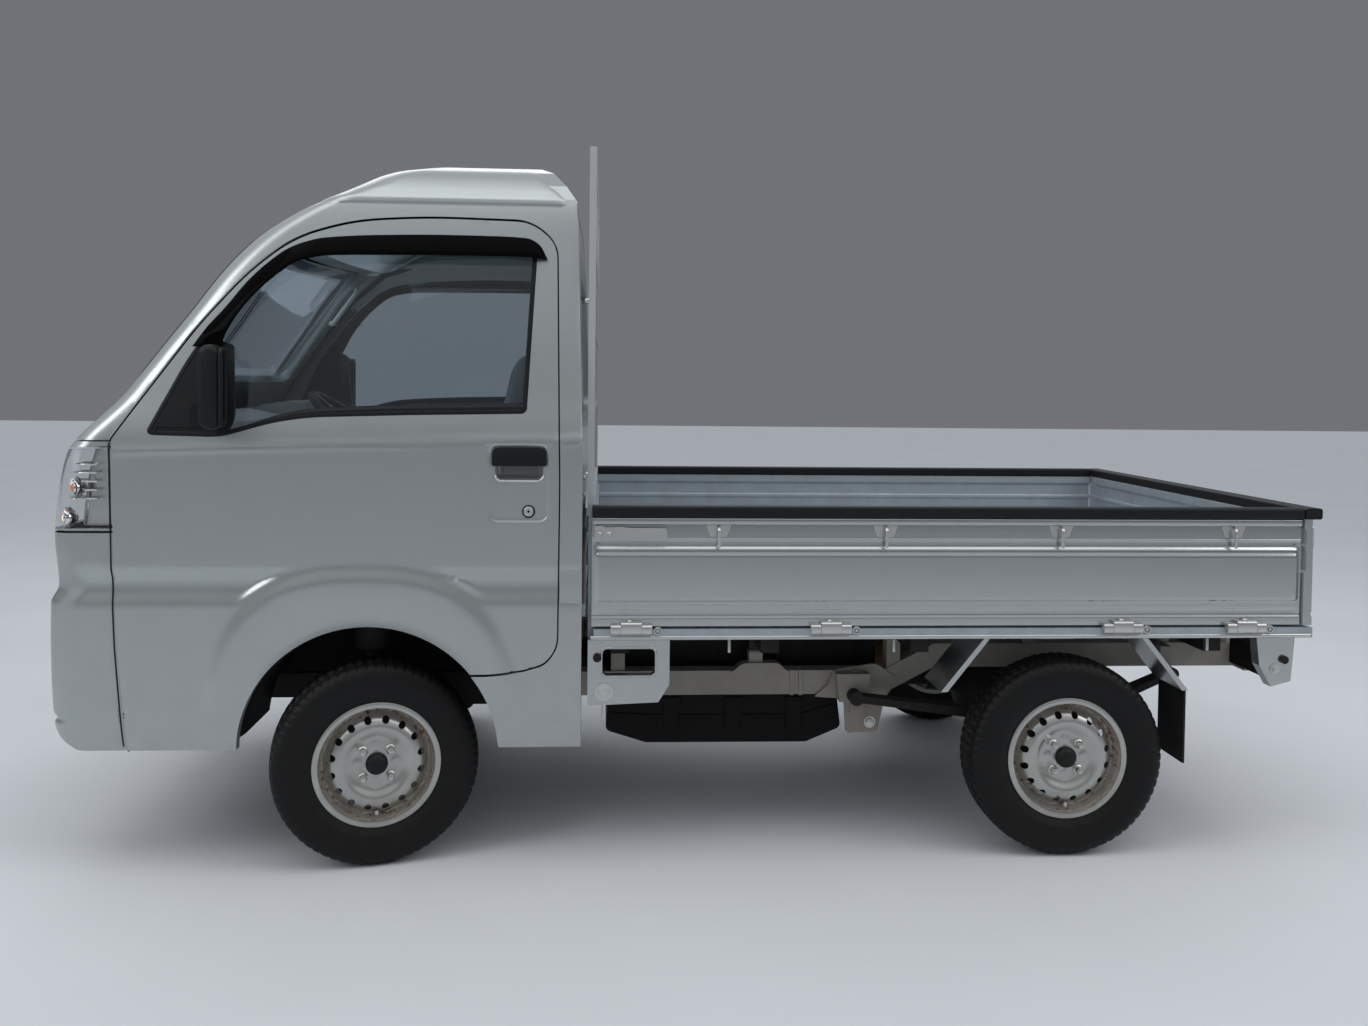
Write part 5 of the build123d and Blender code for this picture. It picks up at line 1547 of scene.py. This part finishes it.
board = panel(roundRect((-698, 698), (654, 926), 10), [], boardPress(283.6, -1), boardPress(284.6, -1), 24.0,
    [((-698, 698), (695, 912), 9.0)], toward=(-1, 0, 0))
# painted reflection: the headboard's face takes the blue-grey copy of the bed's silver paint
piece("headboardSheet", board, "bed_inside", "chassis", sharp=35)
guardBolts = []
for side in (1, -1):
    for z in (985, 1030, 1500):
        spot = (307, side * 674, z)
        guardBolts.append(turned([(-3, 0), (-3, 9), (1, 9), (1, 6.5), (7, 6.5), (8, 5), (8, 0)], spot,
            (1, 0, 0), 12))
    foot = roundRect((side * 640, side * 706), (948, 1048), 8)
    guardBolts.append(prismSolid(foot, 303.5, 308, "x"))
piece("guardFeet", guardBolts, "zinc", "chassis", "bed_silver", sharp=35)
print("bed ready")


# window trims, visor, mirror and handle


def evenPath(points, count):
    # points resampled evenly along a smooth path
    points = np.asarray(points, float)
    gone = np.concatenate([[0], np.cumsum(np.linalg.norm(np.diff(points, axis=0), axis=1))])
    want = np.linspace(0, gone[-1], count)
    return np.stack([monotone(want, gone, points[:, k]) if len(points) > 2
        else np.interp(want, gone, points[:, k]) for k in range(points.shape[1])], -1)


visor = dict(
    upper=[(1324, 1367), (1286, 1422), (1248, 1467), (1191, 1541), (1142, 1590), (1092, 1628), (1047, 1647),
           (1001, 1658), (846, 1668), (699, 1671), (552, 1670), (470, 1666), (436, 1648), (416, 1612)],
    lower=[(1254, 1362), (1229, 1413), (1201, 1460), (1153, 1518), (1105, 1562), (1075, 1584), (1045, 1597),
           (973, 1609), (798, 1612), (700, 1613), (591, 1613), (520, 1613), (470, 1612), (414, 1608)],
    standOff=(2.0, 25.0), wall=2.6,
)
up, low = evenPath(visor["upper"], 90), evenPath(visor["lower"], 90)
u = np.linspace(0, 1, 12)
grid = up[:, None] * (1 - u[None, :, None]) + low[:, None] * u[None, :, None]
ends = smoothstep(np.minimum(np.arange(90), np.arange(89, -1, -1)) / 5)[:, None]
off = visor["standOff"][0] + (visor["standOff"][1] - visor["standOff"][0]) * np.sin(u * pi / 2)[None] * (0.25
    + 0.75 * ends)
outer = flankPoint(grid[..., 0], grid[..., 1])
inner = outer.copy()
outer[..., 1] += off
inner[..., 1] += off - visor["wall"]

beltTop = [(1226, 1150), (1200, 1158), (1156, 1174), (1097, 1193), (1037, 1206), (935, 1214), (792, 1220),
    (620, 1224), (462, 1228)]
beltLow = [(1230, 1134), (1204, 1142), (1160, 1157), (1105, 1174), (1037, 1187), (935, 1193), (792, 1198),
    (620, 1201), (462, 1205)]
sailRing = softOutline([(1424, 1143), (1370, 1258), (1322, 1350), (1304, 1376), (1258, 1384), (1222, 1372),
    (1210, 1180), (1230, 1140)], [10, 0, 20, 8, 8, 10, 20, 10], 10)
for name, side in bothSides:
    body = "door_" + name
    shell = piece("visorShell_" + name, facing(onSide(sheet(outer, inner), side), (0, side, 0)),
        "smoked_visor", body, sharp=50)
    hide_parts("window_visor_" + name)
    ring = drawnIn(windowRing, 1.0)
    route = flankPoint(ring[:, 0], ring[:, 1], 5)
    seal = sweep(route, roundRect((-6, 6), (-7, 7), 3, 3), closed=True)
    beads = [seal]
    a, b = evenPath(beltTop, 60), evenPath(beltLow, 60)
    w = np.linspace(0, 1, 7)
    strip = a[:, None] * (1 - w[None, :, None]) + b[:, None] * w[None, :, None]
    face = flankPoint(strip[..., 0], strip[..., 1])
    bulge = -7 + 8.5 * np.sin(np.clip(w, 0.02, 0.98) * pi)[None] ** 0.6
    over, under = face.copy(), face.copy()
    over[..., 1] += bulge
    under[..., 1] -= 12
    beads.append(facing(sheet(over, under), (0, 1, 0)))
    sail = panel(sailRing, [], lambda x, z: flankPoint(x, z, -0.4), lambda x, z: flankPoint(x, z, 12), 18.0)
    beads.append(sail)
    raised = panel(drawnIn(sailRing, 16), [], lambda x, z: flankPoint(x, z, -3.0), lambda x,
        z: flankPoint(x, z, 2), 14.0)
    beads.append(raised)
    piece("windowTrim_" + name, [onSide(s, side) for s in beads], "black_trim", body, sharp=45)

    # mirror: rings of a rounded box that swells and closes, its glass facing back, an arm from the sail
    spans = np.array([0, 1.5, 5, 12, 24, 36, 44, 48.5, 50.5])
    swell = np.array([-13, -6, -2, 0, 0, -1, -4, -9, -16.0])
    rings = [roundRect((1222 - s, 1284 + s), (1154 - s, 1370 + s), 26 + min(s, 0), 7) for s in swell]
    housing = np.stack([np.stack([r[:, 0], np.full(len(r), 759 + d), r[:, 1]], -1) for r,
        d in zip(rings, spans)])
    housing[..., 0] -= 6.0 * ((housing[..., 2] - 1262) / 108) ** 2 * (housing[..., 0] > 1250)
    count = housing.shape[1]
    faces = gridFaces(len(spans), count, closeColumns=True)
    faces += [list(range(count))[::-1], list(range((len(spans) - 1) * count, len(spans) * count))]
    body1 = facingOut(housing.reshape(-1, 3), faces, housing.reshape(-1, 3).mean(0))
    armPath = bendPath([(1284, 706, 1186), (1280, 742, 1190), (1262, 764, 1222)], 14)
    arm = sweptSolid(armPath, roundRect((-19, 19), (-12, 12), 9, 4))
    foot = prismSolid(roundRect((1250, 1320), (1158, 1218), 16), 712, 736, "y")
    cover = piece("mirrorHousing_" + name, [onSide(s, side) for s in (body1, arm, foot)], "black_trim", body,
        sharp=42)
    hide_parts("door_mirror_" + name)
    glassRing = roundRect((771, 798), (1172, 1352), 10)
    pane = prismSolid(glassRing, 1221.2, 1224, "x")
    piece("mirrorGlass_" + name, onSide(pane, side), "mirrorFace", body, "black_trim", sharp=40)
    lipRing = roundRect((766, 803), (1167, 1357), 12)
    lipPath = np.stack([np.full(len(lipRing), 1221.0), lipRing[:, 0], lipRing[:, 1]], -1)
    lip = sweep(lipPath, roundRect((-5, 5), (-6, 6), 3, 3), closed=True)
    piece("mirrorLip_" + name, onSide(lip, side), "black_trim", body, sharp=45)

    # handle: a slightly bowed black flap over the cup, a round lock below
    flapRing = softOutline([(551, 1064), (551, 1112), (411, 1112), (411, 1064)], [4, 18, 18, 4], 5)

    def flapFace(x, z):
        p = flankPoint(x, z, -4.5)
        p[:, 1] += 2.0 * np.cos((x - 481) / 70 * pi / 2) - 2.5 * smoothstep((z - 1098) / 16)
        return p

    flap = panel(flapRing, [], flapFace, lambda x, z: flankPoint(x, z, 5), 8.0)
    piece("doorHandle_" + name, onSide(flap, side), "black_trim", body, sharp=45)
    spot = flankPoint(np.array([456.0]), np.array([945.0]), 2.0)[0]
    lock = lathe([(-3, 0), (-3, 13), (1.5, 13), (3.2, 11.5), (3.2, 9.5), (1.2, 9), (1.2, 3.4), (-1.5, 3.2),
        (-1.5, 0)], spot, (0, 1, 0.03), 32)
    piece("doorLock_" + name, onSide(facingOut(*lock, spot), side), "chrome", body, "body_silver", sharp=35)
    ring = lathe([(-2, 0), (-2, 17), (0.8, 17), (1.2, 15.5), (0.6, 0)], spot, (0, 1, 0.03), 32)
    piece("lockRing_" + name, onSide(facingOut(*ring, spot), side), "rubber", body, "body_silver", sharp=35)
# thin black seals that lie in the gaps at the doors' front edges, just under the surface
sealTable = np.array(nose["sideX"], float)
sealZ = np.linspace(330, 1118, 60)
sealX = np.interp(sealZ, sealTable[:, 0], sealTable[:, 1]) + 0.5
frontSeal = flankPoint(sealX, sealZ, 2.5)
for name, side in bothSides:
    piece("noseSeal_" + name, onSide(sweptSolid(frontSeal, roundRect((-2.2, 2.2), (-2, 2), 1, 2)), side),
        "rubber", sharp=60)
print("door trims ready")


# inside of the cab

seat = dict(
    x=(480, 990), y=(95, 585), cushionZ=(800, 925),
    back=[(478, 930), (604, 930), (586, 1040), (566, 1130), (540, 1220), (514, 1330), (500, 1372),
          (420, 1372), (418, 1200), (420, 1080)],
    puff=0.010, frames=20, voxel=0.006,
)


def padForm(kind):
    # a rounded block a little smaller than the finished pad, with the shape in (x, z) run across y
    if kind == "cushion":
        ring = softOutline([(484, seat["cushionZ"][0] + 8), (984, seat["cushionZ"][0] + 8), (986, 880),
            (958, 916), (700, 904), (520, 902), (484, 898)], [18, 26, 40, 40, 60, 30, 20], 14)
    else:
        ring = softOutline([(x + (6 if x < 470 else -6), z + (6 if z < 1000 else -6)) for x,
            z in seat["back"]], [16, 30, 60, 60, 60, 40, 34, 34, 60, 60], 14)
    y = np.array([seat["y"][0] + 8 + d for d in (0, 4, 14, 34)] + list(np.linspace(150, 530, 13))
        + [seat["y"][1] - 8 - d for d in (34, 14, 4, 0)])
    shrink = np.array([26, 14, 5, 0] + [0] * 13 + [0, 5, 14, 26.0])
    middle = ring.mean(0)
    rows = []
    for place, s in zip(y, shrink):
        away = ring - middle
        reach = np.linalg.norm(away, axis=1, keepdims=True)
        r = middle + away * (1 - s / reach)
        narrow = 34 * smoothstep((r[:, 1] - 1180) / 190) if kind == "back" else 0 * r[:, 1]
        side = (seat["y"][0] + seat["y"][1]) / 2
        rows.append(np.stack([r[:, 0], side + (place - side) * (1 - narrow / 245), r[:, 1]], -1))
    rows = np.array(rows)
    count = len(ring)
    faces = gridFaces(len(rows), count, closeColumns=True)
    faces += [list(range(count))[::-1], list(range((len(rows) - 1) * count, len(rows) * count))]
    return facingOut(rows.reshape(-1, 3), faces, rows.reshape(-1, 3).mean(0))


def swell(shape):
    # the pad's mesh after it is remeshed evenly and blown up as cloth, each point held near where it began
    points, faces = shape
    mesh = bpy.data.meshes.new("padWork")
    mesh.from_pydata((points * millimetre).tolist(), [], faces)
    work = bpy.data.objects.new("padWork", mesh)
    bpy.context.scene.collection.objects.link(work)
    even = work.modifiers.new("even", "REMESH")
    even.mode = "VOXEL"
    even.voxel_size = seat["voxel"] * 1.5
    bpy.context.view_layer.update()
    start = bpy.data.meshes.new_from_object(work.evaluated_get(bpy.context.evaluated_depsgraph_get()))
    work.modifiers.clear()
    work.data = start
    count = len(start.vertices)
    before = np.empty(count * 3)
    start.vertices.foreach_get("co", before)
    before = before.reshape(-1, 3)
    after = before
    cloth = work.modifiers.new("cloth", "CLOTH")
    cloth.settings.use_pressure = True
    cloth.settings.uniform_pressure_force = 4
    cloth.settings.effector_weights.gravity = 0
    cloth.settings.quality = 5
    for number in range(1, seat["frames"] + 1):
        bpy.context.scene.frame_set(number)
    done = bpy.data.meshes.new_from_object(work.evaluated_get(bpy.context.evaluated_depsgraph_get()))
    after = np.empty(count * 3)
    done.vertices.foreach_get("co", after)
    after = after.reshape(-1, 3)
    bpy.context.scene.frame_set(1)
    bpy.data.meshes.remove(done)
    moved = after - before
    length = np.linalg.norm(moved, axis=1, keepdims=True)
    moved *= np.minimum(1, seat["puff"] / np.maximum(length, 1e-9))
    result = (before + moved) / millimetre
    polygons = [list(p.vertices) for p in start.polygons]
    bpy.data.objects.remove(work)
    bpy.data.meshes.remove(mesh)
    bpy.data.meshes.remove(start)
    return result, polygons


def seamed(shape, kind):
    # sewn channels pressed into the middle of the pad, and a seam a little way in from its sides
    points, faces = shape
    p = points.copy()
    middleY = (seat["y"][0] + seat["y"][1]) / 2
    across = np.abs(p[:, 1] - middleY)
    side = np.exp(-(((across - 168) / 5.0) ** 2))
    if kind == "cushion":
        up = smoothstep((p[:, 2] - 870) / 20)
        lines = sum(np.exp(-(((p[:, 0] - m) / 5.0) ** 2)) for m in (600, 690, 780, 870))
        p[:, 2] -= up * (3.2 * side + 2.6 * lines * smoothstep((168 - across) / 6))
    else:
        front = smoothstep((p[:, 0] - 0.5 * (p[:, 0].min() + p[:, 0].max()) + 30) / 30)
        lines = sum(np.exp(-(((p[:, 2] - m) / 5.0) ** 2)) for m in (1010, 1085, 1160, 1235))
        p[:, 0] -= front * (3.2 * side * smoothstep((1290 - p[:, 2]) / 20) + 2.6 * lines
            * smoothstep((168 - across) / 6))
    return p, faces


for kind, fill in (("cushion", 0.75), ("back", 0.7)):
    pad = seamed(swell(padForm(kind)), kind)
    for name, side, node in (("passenger", 1, "passenger_seat"), ("driver", -1, "driver_seat")):
        made = piece(kind + "Pad_" + name, onSide(pad, side), "seat_fabric", "chassis", sharp=80,
            subdivide=1)
        if kind == "cushion":
            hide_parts(node)
print("seats ready")

# lining of the roof: the cab's own contour drawn in, closed over the top, left open above the windows
lining = dict(inset=52.0, lowZ=1690.0, topZ=1806.0)
t = np.concatenate([np.linspace(0, 1, 26)[:-1], np.linspace(1, 2, 20)[:-1], np.linspace(2, 3, 18)])
heights = lining["lowZ"] + (lining["topZ"] - lining["lowZ"]) * np.array([0, 0.25, 0.5, 0.7, 0.85, 0.95, 1.0])
tt, zz = np.meshgrid(t, heights)
rows = contourPoint(tt, zz, -lining["inset"])
rows[..., :2] = rows[-1, :, :2] + (rows[..., :2] - rows[-1, :, :2]) * np.clip((lining["topZ"] - zz) / 60, 0,
    1)[..., None] ** 0.6
top = rows[-1]
middle = top.copy()
middle[:, 1] = 0
middle[:, 0] = np.clip(middle[:, 0], top[:, 0].min() + 5, top[:, 0].max() - 5)
caps = [np.concatenate([(top * (1 - k) + middle * k)[:, :2], np.full((len(t), 1), lining["topZ"] + 4 * k)],
    1) for k in (0.15, 0.35, 0.6, 0.8, 1.0)]
rows = np.concatenate([rows, np.array(caps)])
liningHalf = sheet(rows, rows + np.array([0, 0, 3.0]))
piece("roofLining", bothOf(liningHalf), "headliner", slot="interior_grey", sharp=60)

# screen pillars' linings with their grab handles, and a strip over the screen
pillarZ = np.linspace(1262, 1672, 24)
screenY = np.interp(pillarZ, [1272, 1668], [646, 586])
pillar = frontAt(screenY, pillarZ, -40)
trimShapes, grips = [], []
profile = roundRect((-34, 34), (-13, 13), 11, 4)
for side in (1, -1):
    path = pillar * np.array([1, side, 1])
    trimShapes.append(sweptSolid(path, profile))
    inward = np.array([-0.55, -0.8 * side, -0.25])
    inward /= np.linalg.norm(inward)
    low, high = path[13], path[20]
    grip = bendPath([low, low + inward * 44, high + inward * 44, high], 16)
    grips.append(sweptSolid(grip, circle(8.5, 12)))
    for end in (low, high):
        grips.append(turned([(4, 0), (4, 15), (26, 13), (30, 9), (30, 0)], end, inward, 16))
acrossHead = np.linspace(-575, 575, 40)
header = frontAt(np.abs(acrossHead), np.full(40, 1690.0), -42)
header[:, 1] *= np.sign(acrossHead)
trimShapes.append(sweptSolid(header, roundRect((-24, 24), (-12, 12), 10, 4)))
piece("pillarLining", trimShapes, "pillarGrey", slot="interior_grey", sharp=50)
piece("grabHandles", grips, "headliner", slot="interior_grey", sharp=50)

# meter hood, air vents, tray and switches on the dashboard, and a lever with its knob
dash = []
hood = softOutline([(1212, 1118), (1250, 1196), (1300, 1212), (1400, 1196), (1440, 1180), (1300, 1150),
    (1240, 1112)], [16, 30, 40, 20, 10, 20, 12], 12)
dash.append(prismSolid(hood, -500, -190, "y"))
ledge = roundRect((1200, 1222), (1002, 1018), 7)
for y0, y1 in ((110, 600), (-90, 90)):
    dash.append(prismSolid(ledge, y0, y1, "y"))
ventPlace = [(-590, 1090), (-130, 1100), (130, 1100), (590, 1090)]
for y, z in ventPlace:
    ring = roundRect((y - 42, y + 42), (z - 26, z + 26), 12)
    dash.append(prismSolid(ring, 1206, 1240, "x"))
    for k in (-14, 0, 14):
        dash.append(facingOut(*box((1199, 1208), (y - 34, y + 34), (z + k - 2, z + k + 2))))
piece("dashDetail", dash, "interior_grey", bevel=2.5, sharp=40)
console = []
for z in (1050, 1020):
    for y in (-52, 0, 52):
        console.append(turned([(-4, 0), (-4, 17), (12, 15), (14, 12), (14, 0)], (1206, y, z), (-1, 0, 0.1),
            20))
lever = bendPath([(1180, 150, 700), (1090, 130, 850), (1060, 120, 900)], 40)
console.append(sweptSolid(lever, circle(8, 12)))
console.append(turned([(-26, 0), (-24, 14), (-8, 22), (10, 22), (22, 14), (26, 0)], (1058, 120, 918),
    (-0.3, 0, 1), 20))
piece("dashControls", console, "black_trim", sharp=45)
print("cab inside ready")


# under the cab and bed

railY = (345.0, 405.0)
under, holes = [], []
# raised saddle and clip bands on the frame rail, and the plate and leg at the spring's front end
for side in (1, -1):
    saddle = softOutline([(-108, 438), (-124, 442), (-150, 465), (-257, 465), (-280, 442), (-296, 438)],
        [3, 12, 14, 14, 12, 3], 9)
    under.append(onSide(prismSolid(saddle, railY[1] - 40, railY[1] + 3, "y"), side))
    for x in (-296, -322):
        under.append(onSide(facingOut(*box((x - 5, x + 5), (railY[1] - 4, railY[1] + 4), (370, 444))), side))
    plate = softOutline([(-363, 366), (-402, 400), (-419, 446), (-544, 464), (-602, 424), (-588, 380),
        (-572, 362), (-552, 262), (-458, 257), (-450, 360)], [3, 10, 14, 16, 8, 10, 12, 10, 12, 8], 9)
    under.append(onSide(prismSolid(plate, railY[1] + 0.5, railY[1] + 9, "y"), side))
    spot = (-481, railY[1] + 8, 425)
    under.append(onSide(turned([(-2, 15), (8, 15), (10, 17), (9, 20), (3, 23), (-2, 23)], spot, (0, 1, 0),
        28, closedProfile=True), side))
    # painted shade: a black disc set down inside the ring stands for the shade in its hole
    hole = lathe([(-1, 0), (-1, 15), (1.5, 15), (1.5, 0)], spot, (0, 1, 0), 28)
    holes.append(onSide(facingOut(*hole, spot), side))
    strap = roundRect((-510, -468), (312, 392), 9)
    under.append(onSide(prismSolid(strap, railY[1] + 8, railY[1] + 17, "y"), side))
piece("frameDetail", under, "frame_paint", bevel=2.0, sharp=40)
piece("frameHoleShade", holes, "tank_black", sharp=40)
bolts = []
for x, z, y in ((-528, 290, railY[1] + 9),):
    spot = (x, y, z)
    bolts.append(turned([(-2, 0), (-2, 17), (3, 17), (3, 12), (11, 12), (12, 10), (12, 0)], spot, (0, 1, 0),
        24))
for x, z, r in ((255, 468, 24), (-1576, 520, 14)):
    spot = (x, halfWidth - 2.5, z)
    bolts.append(turned([(-2, 0), (-2, r), (2.5, r), (2.5, r * 0.68), (6, r * 0.62), (6, r * 0.4),
        (9, r * 0.36), (9, 0)], spot, (0, 1, 0), 32))
spot = (255, halfWidth - 14, 424)
bolts.append(turned([(-26, 0), (-26, 6), (10, 6), (11, 5), (11, 0)], spot, (0, 0, 1), 14))
piece("underBolts", bothOf(joinShapes(bolts)), "zinc", slot="bed_silver", sharp=35)

# rim pressed round the hole of the front bracket
holeRing = roundRect((119, 263), (509, 585), 15)
holePath = np.stack([holeRing[:, 0], np.full(len(holeRing), halfWidth - 3.0), holeRing[:, 1]], -1)
piece("bracketRim", bothOf(sweep(holePath, roundRect((-3, 3), (-3.5, 3.5), 2, 3), closed=True)),
    "bed_silver", sharp=60)

# painted shade: a black sheet with upright beads behind the rail, and a bowed one inside the front wheel's
# arch, stand for the shade over the frame and close that space in black
plateX, plateZ = np.meshgrid(np.linspace(286, -560, 90), np.array([398, 404, 430, 480, 540, 556, 560.0]),
    indexing="ij")
bead = 5.0 * smoothstep((14 - np.abs((plateX + 560) % 140 - 70)) / 8) * smoothstep((plateZ - 440) / 10)
plateOut = np.stack([plateX, 336 + bead, plateZ], -1)
shadeSheet = facing(sheet(plateOut, plateOut - np.array([0, 2.5, 0])), (0, 1, 0))
wallX, wallZ = np.meshgrid(np.linspace(600, 1230, 40), np.linspace(372, 600, 8), indexing="ij")
wallOut = np.stack([wallX, 338 + 6 * np.cos((wallX - 915) / 630 * pi), wallZ], -1)
wall = facing(sheet(wallOut, wallOut - np.array([0, 2.5, 0])), (0, 1, 0))
piece("shadeSheets", bothOf(joinShapes([shadeSheet, wall])), "tank_black", sharp=40)

# flared liners in front of and behind the front wheel, down to the sill
linerShapes = []
for a0, a1 in ((6, 40), (140, 171)):
    angle = np.radians(np.linspace(a0, a1, 16))
    yy = np.linspace(420, 708, 12)
    aa, ww = np.meshgrid(angle, yy, indexing="ij")
    r = truck["archRadius"] + 4 + 6 * smoothstep((ww - 640) / 60)
    outer = np.stack([truck["archX"] + r * np.cos(aa), ww, truck["archZ"] + r * np.sin(aa)], -1)
    inner = np.stack([truck["archX"] + (r + 3) * np.cos(aa), ww, truck["archZ"] + (r + 3) * np.sin(aa)], -1)
    shape = sheet(inner, outer)
    linerShapes.append(facing(shape, (np.cos(np.mean(angle)), 0, np.sin(np.mean(angle)))))
piece("archLiners", bothOf(joinShapes(linerShapes)), "tank_black", sharp=40)

# pockets pressed into the black cover under the frame
cover = []
for x in (54, -130, -312):
    ring = softOutline([(x + 27, 350), (x + 22, 246), (x - 22, 246), (x - 27, 350)], [4, 18, 18, 4], 9)
    cover.append(prismSolid(ring, 343, 349, "y"))
ridge = np.array([(232, 345.5, 300), (60, 345.5, 292), (-330, 345.5, 292), (-430, 345.5, 322)])
cover.append(sweptSolid(ridge, roundRect((-3, 3), (-5, 5), 2.5)))
piece("coverRibs", cover, "tank_black", bevel=2.5, sharp=50)

# tail lamps: red, amber and clear fields in a black tray, and a plate holder between them
lampRows = []
for name, side in bothSides:
    tray = roundRect((side * 486, side * 690), (478, 562), 8)
    lampRows.append(prismSolid(tray, -1640, -1648, "x"))
    for label, (a, b), color in (("red", (494, 572), "red_lens"), ("amber", (574, 630), "amber"),
            ("clear", (632, 682), "lampShell")):
        lens = roundRect((side * a, side * b), (486, 554), 7)
        field = prismSolid(lens, -1645, -1654, "x")
        ribs = [facingOut(*box((-1656, -1653), (side * (a + 6) if side > 0 else side * (b - 6),
            side * (b - 6) if side > 0 else side * (a + 6)), (z - 1.2, z + 1.2)))
            for z in np.arange(494, 550, 7.0)]
        piece("tailLens_%s_%s" % (label, name), [field] + ribs, finish[color], slot="red_lens", bevel=1.2,
            sharp=40)
piece("tailTrays", lampRows, "black_trim", bevel=1.5, sharp=40)
plateBack = prismSolid(roundRect((-170, 170), (402, 566), 8), -1661, -1664, "x")
hood = prismSolid(softOutline([(-1666, 566), (-1690, 572), (-1690, 580), (-1660, 584)], [2, 3, 3, 2], 6),
    -60, 60, "y")
piece("plateHolder", [plateBack, hood], "black_trim", bevel=1.0, sharp=40)
print("underside ready")
